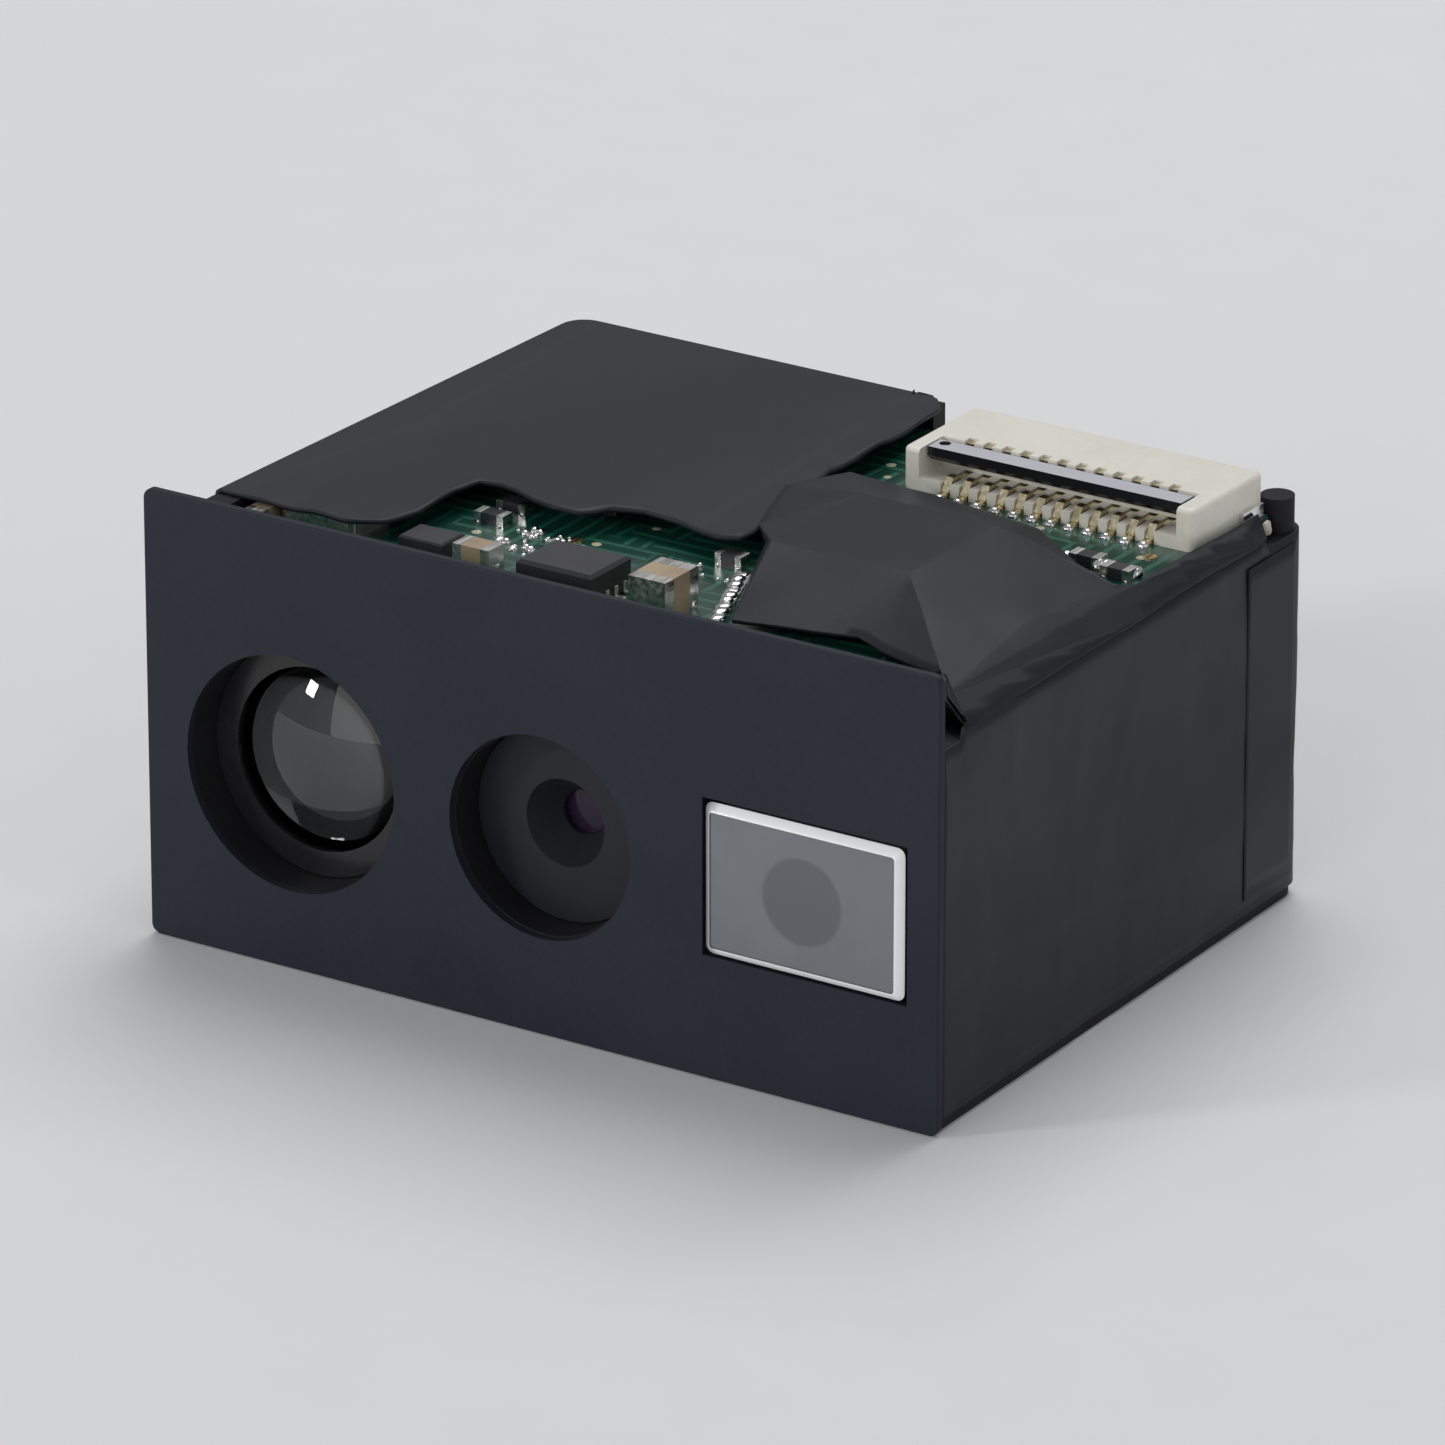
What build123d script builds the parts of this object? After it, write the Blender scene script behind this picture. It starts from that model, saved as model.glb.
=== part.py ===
from build123d import *

import os

# Compact optical scanner module.
# Frame: X is the width (+X on the right seen from the front), the optics look along -Y, Z is up.
# The origin is at the centre of the underside. Depths are given behind the front plate's face.

# ---- Overall sizes -----------------------------------------------------------------------------
PLATE_W = 21.5            # width of the front plate
PLATE_H = 11.0            # height of the front plate
PLATE_T = 0.2             # thin face sheet
PLATE_CORNER_R = 0.25
PLATE_EDGE_R = 0.06       # softened front edge
MODULE_D = 16.9           # plate face to the back of the wrapped tape
TAPE_T = 0.1              # black light-shield tape

# ---- Chassis -----------------------------------------------------------------------------------
BODY_FRONT_HALF = 10.55   # half width just behind the plate
BODY_REAR_HALF = 10.1     # half width at the back wall, after the draft
BODY_CORNER_R = 0.6       # rounding of the two rear corners
WALL_T = 0.9              # floor and back wall
BAY_HALF = 9.1            # half width of the inside, which leaves the board its ledges
OPTICS_BLOCK_D = 8.4      # back face of the solid block that carries the optics
OPTICS_BLOCK_TOP = 8.0
POST_R = 0.4              # rear corner posts that locate the board

# ---- Main board and how it sits ------------------------------------------------------------------
BOARD_T = 0.8
BOARD_TOP = 9.6
BOARD_HALF_W = 9.75
BOARD_FRONT_D = 0.3
BOARD_REAR_D = MODULE_D - TAPE_T - BODY_CORNER_R   # as far back as the corners let it
BOARD_CLEARANCE = 0.08    # board to the walls, posts and pins around it
TALL_WALL_TOP = BOARD_TOP + 0.5    # left wall and left part of the back wall, under the flat tape
LIP_TOP = BOARD_TOP - 0.5          # right wall and right part of the back wall
POST_TOP = BOARD_TOP + 0.35

# ---- Optics ------------------------------------------------------------------------------------
OPTIC_Z = 4.82            # height of the two lens axes
CONDENSER_X = -6.74
CAMERA_X = 0.13
WINDOW_X = 7.22
CONDENSER_HOLE_R = 2.88
CAMERA_HOLE_R = 2.46
FIT_GAP = 0.03            # radial clearance of glued and pushed-in round pieces

LENS_R = 2.3              # condenser lens, at its rim
LENS_RIM_T = 0.5
LENS_DOME = 0.72          # height of the front dome over the rim
LENS_SEAT_D = 1.9         # depth of the seat that the lens and its ring sit on
RING_LIP_T = 0.3          # part of the ring in front of the lens rim
RING_OVERLAP = 0.06       # how far the ring reaches over the lens
LIGHT_TUNNEL_R = 1.95

BARREL_R = 2.38
BARREL_FRONT_D = 1.05
BARREL_LENGTH = 4.9
CONE_MOUTH_R = 1.06
CONE_THROAT_R = 0.55
CONE_DEPTH = 0.75
STOP_T = 0.12             # thin wall at the throat of the cone
BARREL_BORE_R = 1.6
ELEMENT_RIM_T = 0.35
ELEMENT_DOME = 0.25
SPACER_LENGTH = 0.9
SPACER_WALL = 0.3
SPACER_BEVEL = 0.12       # clears the lens domes

WINDOW_Z = 4.9            # the window sits a little higher than the lenses
WINDOW_W = 5.25
WINDOW_H = 3.65
WINDOW_T = 1.1
WINDOW_PROUD = 0.12       # window front, proud of the plate
WINDOW_BEVEL = 0.16
WINDOW_CORNER_R = 0.2
WINDOW_GAP = 0.08         # gap round the window

# ---- Illumination and aiming ---------------------------------------------------------------------
LED_W = 3.5
LED_H = 2.8
LED_T = 0.9
LED_CUP_R = 1.15
LED_CUP_DEPTH = 0.3
LED_FILL_RECESS = 0.05
LED_AIR = 0.12            # window back to the front of the LED
LED_POCKET_GAP = 0.4
LED_BOARD_T = 0.6
LED_BOARD_H = 5.2
LED_PIN_R = 0.18
LED_PIN_SPACING = 2.0
LED_PIN_LAP = 1.2         # how far the pins lie against their board
AIM_LED_W = 3.0
AIM_LED_T = 0.6
AIM_DOME_R = 1.15
AIM_DOME_RIM = 0.2
AIM_DOME_H = 0.9
AIM_CAVITY_W = 4.2
AIM_CAVITY_DEPTH = 2.0

# ---- Camera sensor and its board -------------------------------------------------------------------
SENSOR_CAVITY_W = 5.2
SENSOR_CAVITY_DEPTH = 2.2
FILTER_W = 5.0
FILTER_T = 0.3
SENSOR_W = 4.6
SENSOR_T = 0.7
GLASS_W = 3.5
GLASS_T = 0.3
GASKET_WALL = 0.5
OPTICS_BOARD_T = 0.8
OPTICS_BOARD_LEFT = -9.0
OPTICS_BOARD_RIGHT = 4.7
OPTICS_BOARD_BOTTOM = 1.1
OPTICS_BOARD_TOP = 7.9
SCREW_SPOTS = [(-3.5, 2.6), (3.75, 7.0)]   # x and z of the two board screws
SCREW_R = 0.45
SCREW_HEAD_R = 0.85
SCREW_HEAD_T = 0.45
SCREW_HEAD_ROUND = 0.18
SCREW_DEPTH = 2.2         # depth of the pilot hole
SCREW_LENGTH = 2.0        # thread inside the chassis
SCREW_SOCKET_R = 0.35

# ---- Board-to-board link ---------------------------------------------------------------------------
LINK_PINS = 6
LINK_PITCH = 1.0
LINK_X = -3.6
LINK_Z = 7.2
LINK_BODY_DEPTH = 1.1
LINK_BODY_H = 1.0
LINK_PIN_W = 0.34
LINK_PIN_ENGAGE = 0.5     # pin length inside the optics board
LINK_RISE_D = 11.1        # depth at which the pins turn up into the main board
PIN_STICK_OUT = 0.2       # pin ends over the far face of a board

# ---- Cable connector -------------------------------------------------------------------------------
CONTACTS = 12
PITCH = 0.5
END_MARGIN = 1.17         # first contact to the end of the housing
CONNECTOR_END_X = 9.58    # its end nearest the right wall
CONNECTOR_D = 12.65       # depth of its front face
CONNECTOR_DEPTH = 3.15
CONNECTOR_H = 1.02
EAR_T = 0.45
BASE_T = 0.3
COVER_FRONT = 1.05        # front edge of the cover, behind the housing's front
COVER_UNDERSIDE = 0.72
CABLE_STOP = 1.9          # how far from the front a cable stops
CABLE_WIDTH_ROOM = 0.05
HOUSING_CORNER_R = 0.2
HOUSING_EDGE_R = 0.12
CONTACT_T = 0.2           # sheet thickness of a contact
CONTACT_WIDTH = 0.16      # width of its leg, seen from the side
CONTACT_GAP = 0.03        # contact to the walls of its slot
# side view of a contact: depths behind the housing's front, heights over the board
FOOT_REACH = 0.12
LEG_Z = 0.1
LEG_BACK = 2.75
SPINE_FRONT = 1.4
SPINE_BACK = 1.7
ARM_Z = 0.7
ARM_T = 0.12
ARM_BACK = 2.6
HOOK_FRONT = 1.08
HOOK_BACK = 1.26
HOOK_TOP = 0.96
JAW_FRONT = 0.2
JAW_BACK = 0.55
JAW_TOP = 0.42
LOCK_GAP = 0.06
LOCK_R = 0.18             # half thickness of the lock and radius of its rear edge
LOCK_PIVOT = 0.8          # pivot axis, behind the housing's front
LOCK_REACH = 0.5          # pivot axis to the lock's front edge
LOCK_BEVEL = 0.14
DIMPLE_R = 0.14
DIMPLE_INSET = 0.24
TRUNNION_R = 0.12
TRUNNION_L = 0.2
TRUNNION_GAP = 0.03
TAB_T = 0.12
TAB_LENGTH = 0.9
TAB_H = 0.32
SOLDER_R = 0.14

# ---- Mounting holes in the underside ---------------------------------------------------------------
MOUNT_SPACING = 14.0
MOUNT_D = 11.4            # depth of the hole line behind the plate face
MOUNT_HOLE_R = 0.65       # pilot for an M1.6 screw
MOUNT_HOLE_DEPTH = 2.4
MOUNT_BOSS_R = 1.5
MOUNT_BOSS_TOP = 3.2

# ---- Parts on the main board -------------------------------------------------------------------------
# packages: x, depth, width, length, height
DRIVER_IC = (-0.9, 2.95, 2.05, 1.6, 0.82)
REGULATOR = (-5.05, 3.3, 1.2, 0.9, 0.4)
OSCILLATOR = (-7.9, 3.6, 2.1, 1.6, 0.48)
MEMORY = (-5.2, 9.0, 5.0, 3.2, 0.4)
INDUCTOR = (4.65, 7.3, 3.6, 3.6, 1.1)      # tall coil under the tented tape
PROCESSOR = (4.2, 12.6, 6.0, 6.0, 0.75)    # on the board's underside
IC_BEVEL = 0.08
OSCILLATOR_CORNER = 0.2
INDUCTOR_CORNER = 0.6
# chip parts: x, depth, length, width, height, end cap, direction of the length
CAPACITORS = [
    (1.5, 3.0, 1.35, 1.0, 1.0, 0.35, "Y"),
    (-3.65, 3.15, 1.0, 0.6, 0.52, 0.24, "X"),
    (-9.25, 2.75, 1.0, 0.5, 0.44, 0.24, "Y"),
    (-7.6, 5.6, 1.0, 0.5, 0.4, 0.2, "X"),
    (-7.6, 6.6, 1.0, 0.5, 0.4, 0.2, "X"),
]
RESISTORS = [
    (7.95, 10.75, 0.8, 0.42, 0.28, 0.2, "X"),
    (8.95, 10.45, 0.8, 0.42, 0.28, 0.2, "X"),
    (1.2, 6.3, 0.7, 0.4, 0.3, 0.16, "X"),
    (-4.9, 5.6, 0.8, 0.4, 0.25, 0.18, "X"),
    (-4.9, 6.5, 0.8, 0.4, 0.25, 0.18, "X"),
]
SOLDER_STRIP = [(2.75, 3.0), (3.1, 3.0), (2.1, 5.7), (1.75, 5.7)]   # outline, x and depth
SOLDER_STRIP_T = 0.14
TEST_PADS = [(8.8, 16.02), (-1.2, 5.2), (-2.6, 5.6), (8.9, 11.9)]    # x and depth
TEST_PAD_R = 0.16
TEST_PAD_T = 0.03
DAB_W = 0.3               # glue dabs in front of the rear posts
DAB_L = 0.5
DAB_RISE = 0.05

HOUSING_LENGTH = (CONTACTS - 1) * PITCH + 2 * END_MARGIN
CONNECTOR_X = CONNECTOR_END_X - HOUSING_LENGTH / 2
CABLE_SLOT_W = (CONTACTS + 1) * PITCH + CABLE_WIDTH_ROOM
LOCK_Z = CONNECTOR_H - LOCK_R
TALL_WALL_END_X = CONNECTOR_X - HOUSING_LENGTH / 2 - 1.44   # the tall back wall stops beside the connector

FRONT_Y = WINDOW_PROUD - (MODULE_D + WINDOW_PROUD) / 2   # plate face, with the part centred in Y
BODY_REAR_D = MODULE_D - TAPE_T
BOARD_BOTTOM = BOARD_TOP - BOARD_T
LEDGE_TOP = BOARD_BOTTOM


def block(x0, x1, d0, d1, z0, z1):
    """A box from its low and high x, depth and z."""
    size = (x1 - x0, d1 - d0, z1 - z0)
    centre = ((x0 + x1) / 2, FRONT_Y + (d0 + d1) / 2, (z0 + z1) / 2)
    return Pos(*centre) * Box(*size)


def centred(x, z, width, height, d0, d1):
    """A box centred on an optical axis, between two depths."""
    return block(x - width / 2, x + width / 2, d0, d1, z - height / 2, z + height / 2)


def rod(x, z, radius, d0, d1):
    """A cylinder along the optical direction, between two depths."""
    middle = FRONT_Y + (d0 + d1) / 2
    return Pos(x, middle, z) * Rot(90, 0, 0) * Cylinder(radius, d1 - d0)


def post(x, depth, radius, z0, z1):
    """An upright cylinder."""
    return Pos(x, FRONT_Y + depth, (z0 + z1) / 2) * Cylinder(radius, z1 - z0)


def turned(x, z, profile):
    """A solid turned round an optical axis, from (radius, depth) points."""
    outline = Plane.XY * make_face(Polyline(*profile, close=True))
    solid = revolve(outline, Axis.Y, 360)
    return Pos(x, FRONT_Y, z) * solid


def ball(x, z, radius, dome, nose_d, side):
    """The sphere of a lens face: side is 1 for the front face and -1 for the back face."""
    ball_r = (radius ** 2 + dome ** 2) / (2 * dome)
    return Pos(x, FRONT_Y + nose_d + side * ball_r, z) * Sphere(ball_r)


def lens(x, z, radius, front_d, rim_t, front_dome, back_dome=0.0):
    """A lens with a cylindrical rim; front_d is the depth of the rim's front edge."""
    nose = front_d - front_dome
    tail = front_d + rim_t + back_dome
    solid = rod(x, z, radius, nose, tail) & ball(x, z, radius, front_dome, nose, 1)
    if back_dome:
        solid &= ball(x, z, radius, back_dome, tail, -1)
    return solid


def half_width(depth):
    """Half width of the drafted chassis at a depth."""
    share = (depth - PLATE_T) / (BODY_REAR_D - PLATE_T)
    return BODY_FRONT_HALF + (BODY_REAR_HALF - BODY_FRONT_HALF) * share


def drafted(grow, z0, z1):
    """The chassis's drafted outline, moved out by grow, with its two rear corners rounded."""
    rear = BODY_REAR_D + grow
    near = BODY_FRONT_HALF + grow
    far = BODY_REAR_HALF + grow
    corners = [(-near, PLATE_T), (near, PLATE_T), (far, rear), (-far, rear)]
    outline = Pos(0, FRONT_Y, z0) * make_face(Polyline(*corners, close=True))
    body = extrude(outline, z1 - z0)
    upright = body.edges().filter_by(Axis.Z).sort_by(Axis.Y)[-2:]
    return fillet(upright, BODY_CORNER_R + grow)


def film(points, panels, thickness):
    """A bent sheet from named surface points (x, depth, z) and flat panels, thickened downwards."""
    panes = []
    for panel in panels:
        corners = [Vector(points[n][0], FRONT_Y + points[n][1], points[n][2]) for n in panel]
        pane = Face(Wire.make_polygon(corners, close=True))
        panes.append(extrude(pane, thickness, dir=(0, 0, -1)))
    return panes[0].fuse(*panes[1:])


# ---- Chassis ---------------------------------------------------------------------------------------
def rear_posts():
    """Centres of the two board posts, tucked into the rear corners."""
    depth = BODY_REAR_D - BODY_CORNER_R
    x = half_width(depth) - POST_R
    return [(-x, depth), (x, depth)]


def make_chassis():
    body = drafted(0, 0, TALL_WALL_TOP)
    room = BOARD_HALF_W + BOARD_CLEARANCE
    board_rear = BOARD_REAR_D + BOARD_CLEARANCE
    body -= block(-room, room, 0, board_rear, LEDGE_TOP, TALL_WALL_TOP + 1)
    body -= block(TALL_WALL_END_X, PLATE_W, 0, MODULE_D, LIP_TOP, TALL_WALL_TOP + 1)
    front_end = WALL_T + PLATE_T
    bay_rear = BODY_REAR_D - WALL_T
    body -= block(-BAY_HALF, BAY_HALF, front_end, bay_rear, OPTICS_BLOCK_TOP, LEDGE_TOP)
    body -= block(-BAY_HALF, BAY_HALF, OPTICS_BLOCK_D, bay_rear, WALL_T, LEDGE_TOP)
    for x, depth in rear_posts():
        body += post(x, depth, POST_R, WALL_T, POST_TOP)
    # condenser side: seat, light tunnel and LED cavity
    body -= rod(CONDENSER_X, OPTIC_Z, CONDENSER_HOLE_R, PLATE_T, LENS_SEAT_D)
    body -= rod(CONDENSER_X, OPTIC_Z, LIGHT_TUNNEL_R, LENS_SEAT_D, OPTICS_BLOCK_D)
    aim_front = OPTICS_BLOCK_D - AIM_CAVITY_DEPTH
    body -= centred(CONDENSER_X, OPTIC_Z, AIM_CAVITY_W, AIM_CAVITY_W, aim_front, OPTICS_BLOCK_D)
    # camera: barrel bore and sensor cavity
    cavity_front = OPTICS_BLOCK_D - SENSOR_CAVITY_DEPTH
    body -= rod(CAMERA_X, OPTIC_Z, BARREL_R + FIT_GAP, PLATE_T, cavity_front)
    body -= centred(CAMERA_X, OPTIC_Z, SENSOR_CAVITY_W, SENSOR_CAVITY_W, cavity_front, OPTICS_BLOCK_D)
    # illumination: window pocket, LED pocket and the slot for its board
    window_back = WINDOW_T - WINDOW_PROUD
    led_back = window_back + LED_AIR + LED_T
    pocket = 2 * WINDOW_GAP
    body -= centred(WINDOW_X, WINDOW_Z, WINDOW_W + pocket, WINDOW_H + pocket, PLATE_T, window_back)
    body -= centred(WINDOW_X, WINDOW_Z, LED_W + LED_POCKET_GAP, LED_H + LED_POCKET_GAP, window_back, led_back)
    slot_back = led_back + LED_BOARD_T + 2 * LED_PIN_R + 2 * BOARD_CLEARANCE
    slot_half = WINDOW_W / 2 + WINDOW_GAP
    slot_bottom = OPTICS_BLOCK_TOP - LED_BOARD_H - BOARD_CLEARANCE
    body -= block(WINDOW_X - slot_half, WINDOW_X + slot_half, led_back, slot_back,
                  slot_bottom, OPTICS_BLOCK_TOP)
    # pilot holes for the optics board screws
    for x, z in SCREW_SPOTS:
        body -= rod(x, z, SCREW_R, OPTICS_BLOCK_D - SCREW_DEPTH, OPTICS_BLOCK_D)
    # bosses and blind pilot holes of the mounting face
    for side in (-1, 1):
        x = side * MOUNT_SPACING / 2
        body += post(x, MOUNT_D, MOUNT_BOSS_R, WALL_T, MOUNT_BOSS_TOP)
        body -= post(x, MOUNT_D, MOUNT_HOLE_R, 0, MOUNT_HOLE_DEPTH)
    return body


# ---- Front plate ---------------------------------------------------------------------------------
def make_front_plate():
    plate = block(-PLATE_W / 2, PLATE_W / 2, 0, PLATE_T, 0, PLATE_H)
    plate = fillet(plate.edges().filter_by(Axis.Y), PLATE_CORNER_R)
    plate = fillet(plate.faces().sort_by(Axis.Y)[0].edges(), PLATE_EDGE_R)
    plate -= rod(CONDENSER_X, OPTIC_Z, CONDENSER_HOLE_R, 0, PLATE_T)
    plate -= rod(CAMERA_X, OPTIC_Z, CAMERA_HOLE_R, 0, PLATE_T)
    opening = 2 * WINDOW_GAP
    plate -= centred(WINDOW_X, WINDOW_Z, WINDOW_W + opening, WINDOW_H + opening, 0, PLATE_T)
    return plate


# ---- Condenser and camera optics -----------------------------------------------------------------
def make_condenser_lens():
    return lens(CONDENSER_X, OPTIC_Z, LENS_R, LENS_SEAT_D - LENS_RIM_T, LENS_RIM_T, LENS_DOME)


def make_retaining_ring():
    """The ring stands beside the lens, and its bevelled lip reaches over the rim."""
    rim_front = LENS_SEAT_D - LENS_RIM_T
    nose = rim_front - RING_LIP_T
    outer = CONDENSER_HOLE_R - FIT_GAP
    beside = LENS_R + FIT_GAP
    over = LENS_R - RING_OVERLAP
    profile = [(over, nose), (outer, nose), (outer, LENS_SEAT_D), (beside, LENS_SEAT_D),
               (beside, rim_front), (over, nose + RING_LIP_T / 3)]
    return turned(CONDENSER_X, OPTIC_Z, profile)


def make_barrel():
    front = BARREL_FRONT_D
    throat = front + CONE_DEPTH
    back = front + BARREL_LENGTH
    profile = [(CONE_MOUTH_R, front), (BARREL_R, front), (BARREL_R, back), (BARREL_BORE_R, back),
               (BARREL_BORE_R, throat + STOP_T), (CONE_THROAT_R, throat + STOP_T),
               (CONE_THROAT_R, throat)]
    return turned(CAMERA_X, OPTIC_Z, profile)


def element_fronts():
    """Depth of the rim front of each camera lens element."""
    first = BARREL_FRONT_D + CONE_DEPTH + STOP_T + ELEMENT_DOME
    second = first + ELEMENT_RIM_T + SPACER_LENGTH
    return first, second


def make_elements():
    first, second = element_fronts()
    radius = BARREL_BORE_R - FIT_GAP
    front = lens(CAMERA_X, OPTIC_Z, radius, first, ELEMENT_RIM_T, ELEMENT_DOME, ELEMENT_DOME)
    rear = lens(CAMERA_X, OPTIC_Z, radius, second, ELEMENT_RIM_T, ELEMENT_DOME, ELEMENT_DOME)
    return front, rear


def make_spacer():
    first, second = element_fronts()
    radius = BARREL_BORE_R - FIT_GAP
    inner = radius - SPACER_WALL
    start = first + ELEMENT_RIM_T
    profile = [(inner, start + SPACER_BEVEL), (radius, start),
               (radius, second), (inner, second - SPACER_BEVEL)]
    return turned(CAMERA_X, OPTIC_Z, profile)


def make_filter():
    front = OPTICS_BLOCK_D - SENSOR_CAVITY_DEPTH
    return centred(CAMERA_X, OPTIC_Z, FILTER_W, FILTER_W, front, front + FILTER_T)


# ---- Window and illumination ---------------------------------------------------------------------
def window_back():
    return WINDOW_T - WINDOW_PROUD


def make_window():
    body = centred(WINDOW_X, WINDOW_Z, WINDOW_W, WINDOW_H, -WINDOW_PROUD, window_back())
    body = fillet(body.edges().filter_by(Axis.Y), WINDOW_CORNER_R)
    return chamfer(body.faces().sort_by(Axis.Y)[0].edges(), WINDOW_BEVEL)


def make_illumination_led():
    front = window_back() + LED_AIR
    body = centred(WINDOW_X, WINDOW_Z, LED_W, LED_H, front, front + LED_T)
    return body - rod(WINDOW_X, WINDOW_Z, LED_CUP_R, front, front + LED_CUP_DEPTH)


def make_phosphor():
    front = window_back() + LED_AIR
    return rod(WINDOW_X, WINDOW_Z, LED_CUP_R, front + LED_FILL_RECESS, front + LED_CUP_DEPTH)


def led_board_depths():
    front = window_back() + LED_AIR + LED_T
    return front, front + LED_BOARD_T


def make_illumination_board():
    front, back = led_board_depths()
    half = WINDOW_W / 2
    bottom = OPTICS_BLOCK_TOP - LED_BOARD_H
    return block(WINDOW_X - half, WINDOW_X + half, front, back, bottom, OPTICS_BLOCK_TOP)


def led_pin_spots():
    """x and depth of the two pins that feed the illumination board."""
    depth = led_board_depths()[1] + LED_PIN_R
    return [(WINDOW_X + side * LED_PIN_SPACING / 2, depth) for side in (-1, 1)]


def make_illumination_pins():
    low = OPTICS_BLOCK_TOP - LED_PIN_LAP
    return [post(x, depth, LED_PIN_R, low, BOARD_TOP) for x, depth in led_pin_spots()]


def make_aiming_led():
    return centred(CONDENSER_X, OPTIC_Z, AIM_LED_W, AIM_LED_W,
                   OPTICS_BLOCK_D - AIM_LED_T, OPTICS_BLOCK_D)


def make_aiming_dome():
    front = OPTICS_BLOCK_D - AIM_LED_T - AIM_DOME_RIM
    return lens(CONDENSER_X, OPTIC_Z, AIM_DOME_R, front, AIM_DOME_RIM, AIM_DOME_H)


# ---- Sensor and optics board ---------------------------------------------------------------------
def make_sensor():
    return centred(CAMERA_X, OPTIC_Z, SENSOR_W, SENSOR_W, OPTICS_BLOCK_D - SENSOR_T, OPTICS_BLOCK_D)


def make_sensor_glass():
    back = OPTICS_BLOCK_D - SENSOR_T
    return centred(CAMERA_X, OPTIC_Z, GLASS_W, GLASS_W, back - GLASS_T, back)


def make_gasket():
    front = OPTICS_BLOCK_D - SENSOR_CAVITY_DEPTH + FILTER_T
    back = OPTICS_BLOCK_D - SENSOR_T
    inner = FILTER_W - 2 * GASKET_WALL
    outer_block = centred(CAMERA_X, OPTIC_Z, FILTER_W, FILTER_W, front, back)
    return outer_block - centred(CAMERA_X, OPTIC_Z, inner, inner, front, back)


def link_columns():
    """x of each pin of the link between the two boards."""
    start = LINK_X - (LINK_PINS - 1) * LINK_PITCH / 2
    return [start + i * LINK_PITCH for i in range(LINK_PINS)]


def make_optics_board():
    board = block(OPTICS_BOARD_LEFT, OPTICS_BOARD_RIGHT, OPTICS_BLOCK_D, OPTICS_BLOCK_D + OPTICS_BOARD_T,
                  OPTICS_BOARD_BOTTOM, OPTICS_BOARD_TOP)
    back = OPTICS_BLOCK_D + OPTICS_BOARD_T
    for x, z in SCREW_SPOTS:
        board -= rod(x, z, SCREW_R + BOARD_CLEARANCE, OPTICS_BLOCK_D, back)
    hole = LINK_PIN_W + BOARD_CLEARANCE
    for x in link_columns():
        board -= centred(x, LINK_Z, hole, hole, back - LINK_PIN_ENGAGE, back)
    return board


def make_board_screws():
    screws = []
    board_back = OPTICS_BLOCK_D + OPTICS_BOARD_T
    for x, z in SCREW_SPOTS:
        shank = rod(x, z, SCREW_R, OPTICS_BLOCK_D - SCREW_LENGTH, board_back)
        head = rod(x, z, SCREW_HEAD_R, board_back, board_back + SCREW_HEAD_T)
        head = fillet(head.edges().sort_by(Axis.Y)[-1], SCREW_HEAD_ROUND)
        socket_front = board_back + SCREW_HEAD_T / 2
        slot = rod(x, z, SCREW_SOCKET_R, socket_front, board_back + SCREW_HEAD_T)
        screws.append(shank + head - slot)
    return screws


def make_link_body():
    front = OPTICS_BLOCK_D + OPTICS_BOARD_T
    half = LINK_PINS * LINK_PITCH / 2
    body = block(LINK_X - half, LINK_X + half, front, front + LINK_BODY_DEPTH,
                 LINK_Z - LINK_BODY_H / 2, LINK_Z + LINK_BODY_H / 2)
    for x in link_columns():
        body -= centred(x, LINK_Z, LINK_PIN_W, LINK_PIN_W, front, front + LINK_BODY_DEPTH)
    return body


def make_link_pins():
    half = LINK_PIN_W / 2
    start = OPTICS_BLOCK_D + OPTICS_BOARD_T - LINK_PIN_ENGAGE
    pins = []
    for x in link_columns():
        leg = block(x - half, x + half, start, LINK_RISE_D + half, LINK_Z - half, LINK_Z + half)
        rise = block(x - half, x + half, LINK_RISE_D - half, LINK_RISE_D + half,
                     LINK_Z - half, BOARD_TOP + PIN_STICK_OUT)
        pins.append(leg + rise)
    return pins


# ---- Main board ----------------------------------------------------------------------------------
def make_main_board():
    board = block(-BOARD_HALF_W, BOARD_HALF_W, BOARD_FRONT_D, BOARD_REAR_D, BOARD_BOTTOM, BOARD_TOP)
    for x, depth in rear_posts():
        board -= post(x, depth, POST_R + BOARD_CLEARANCE, BOARD_BOTTOM, BOARD_TOP)
    for x, depth in led_pin_spots():
        board -= post(x, depth, LED_PIN_R + BOARD_CLEARANCE / 2, BOARD_BOTTOM, BOARD_TOP)
    hole = (LINK_PIN_W + BOARD_CLEARANCE) / 2
    for x in link_columns():
        board -= block(x - hole, x + hole, LINK_RISE_D - hole, LINK_RISE_D + hole, BOARD_BOTTOM, BOARD_TOP)
    return board


def on_board(x, depth, width, length, height):
    """A part's body standing on the main board, from its centre and size."""
    return block(x - width / 2, x + width / 2, depth - length / 2, depth + length / 2,
                 BOARD_TOP, BOARD_TOP + height)


def chip(x, depth, length, width, height, cap, along):
    """A two-ended chip part, its body and its two end caps, with its length along X or Y."""
    offset = (length - cap) / 2
    if along == "X":
        body = on_board(x, depth, length - 2 * cap, width, height)
        caps = [on_board(x + side * offset, depth, cap, width, height) for side in (-1, 1)]
    else:
        body = on_board(x, depth, width, length - 2 * cap, height)
        caps = [on_board(x, depth + side * offset, width, cap, height) for side in (-1, 1)]
    return body, caps


def make_chips(rows):
    bodies = []
    caps = []
    for row in rows:
        body, ends = chip(*row)
        bodies.append(body)
        caps += ends
    return bodies, caps


def make_driver_ic():
    body = on_board(*DRIVER_IC)
    return chamfer(body.faces().sort_by(Axis.Z)[-1].edges(), IC_BEVEL)


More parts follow.
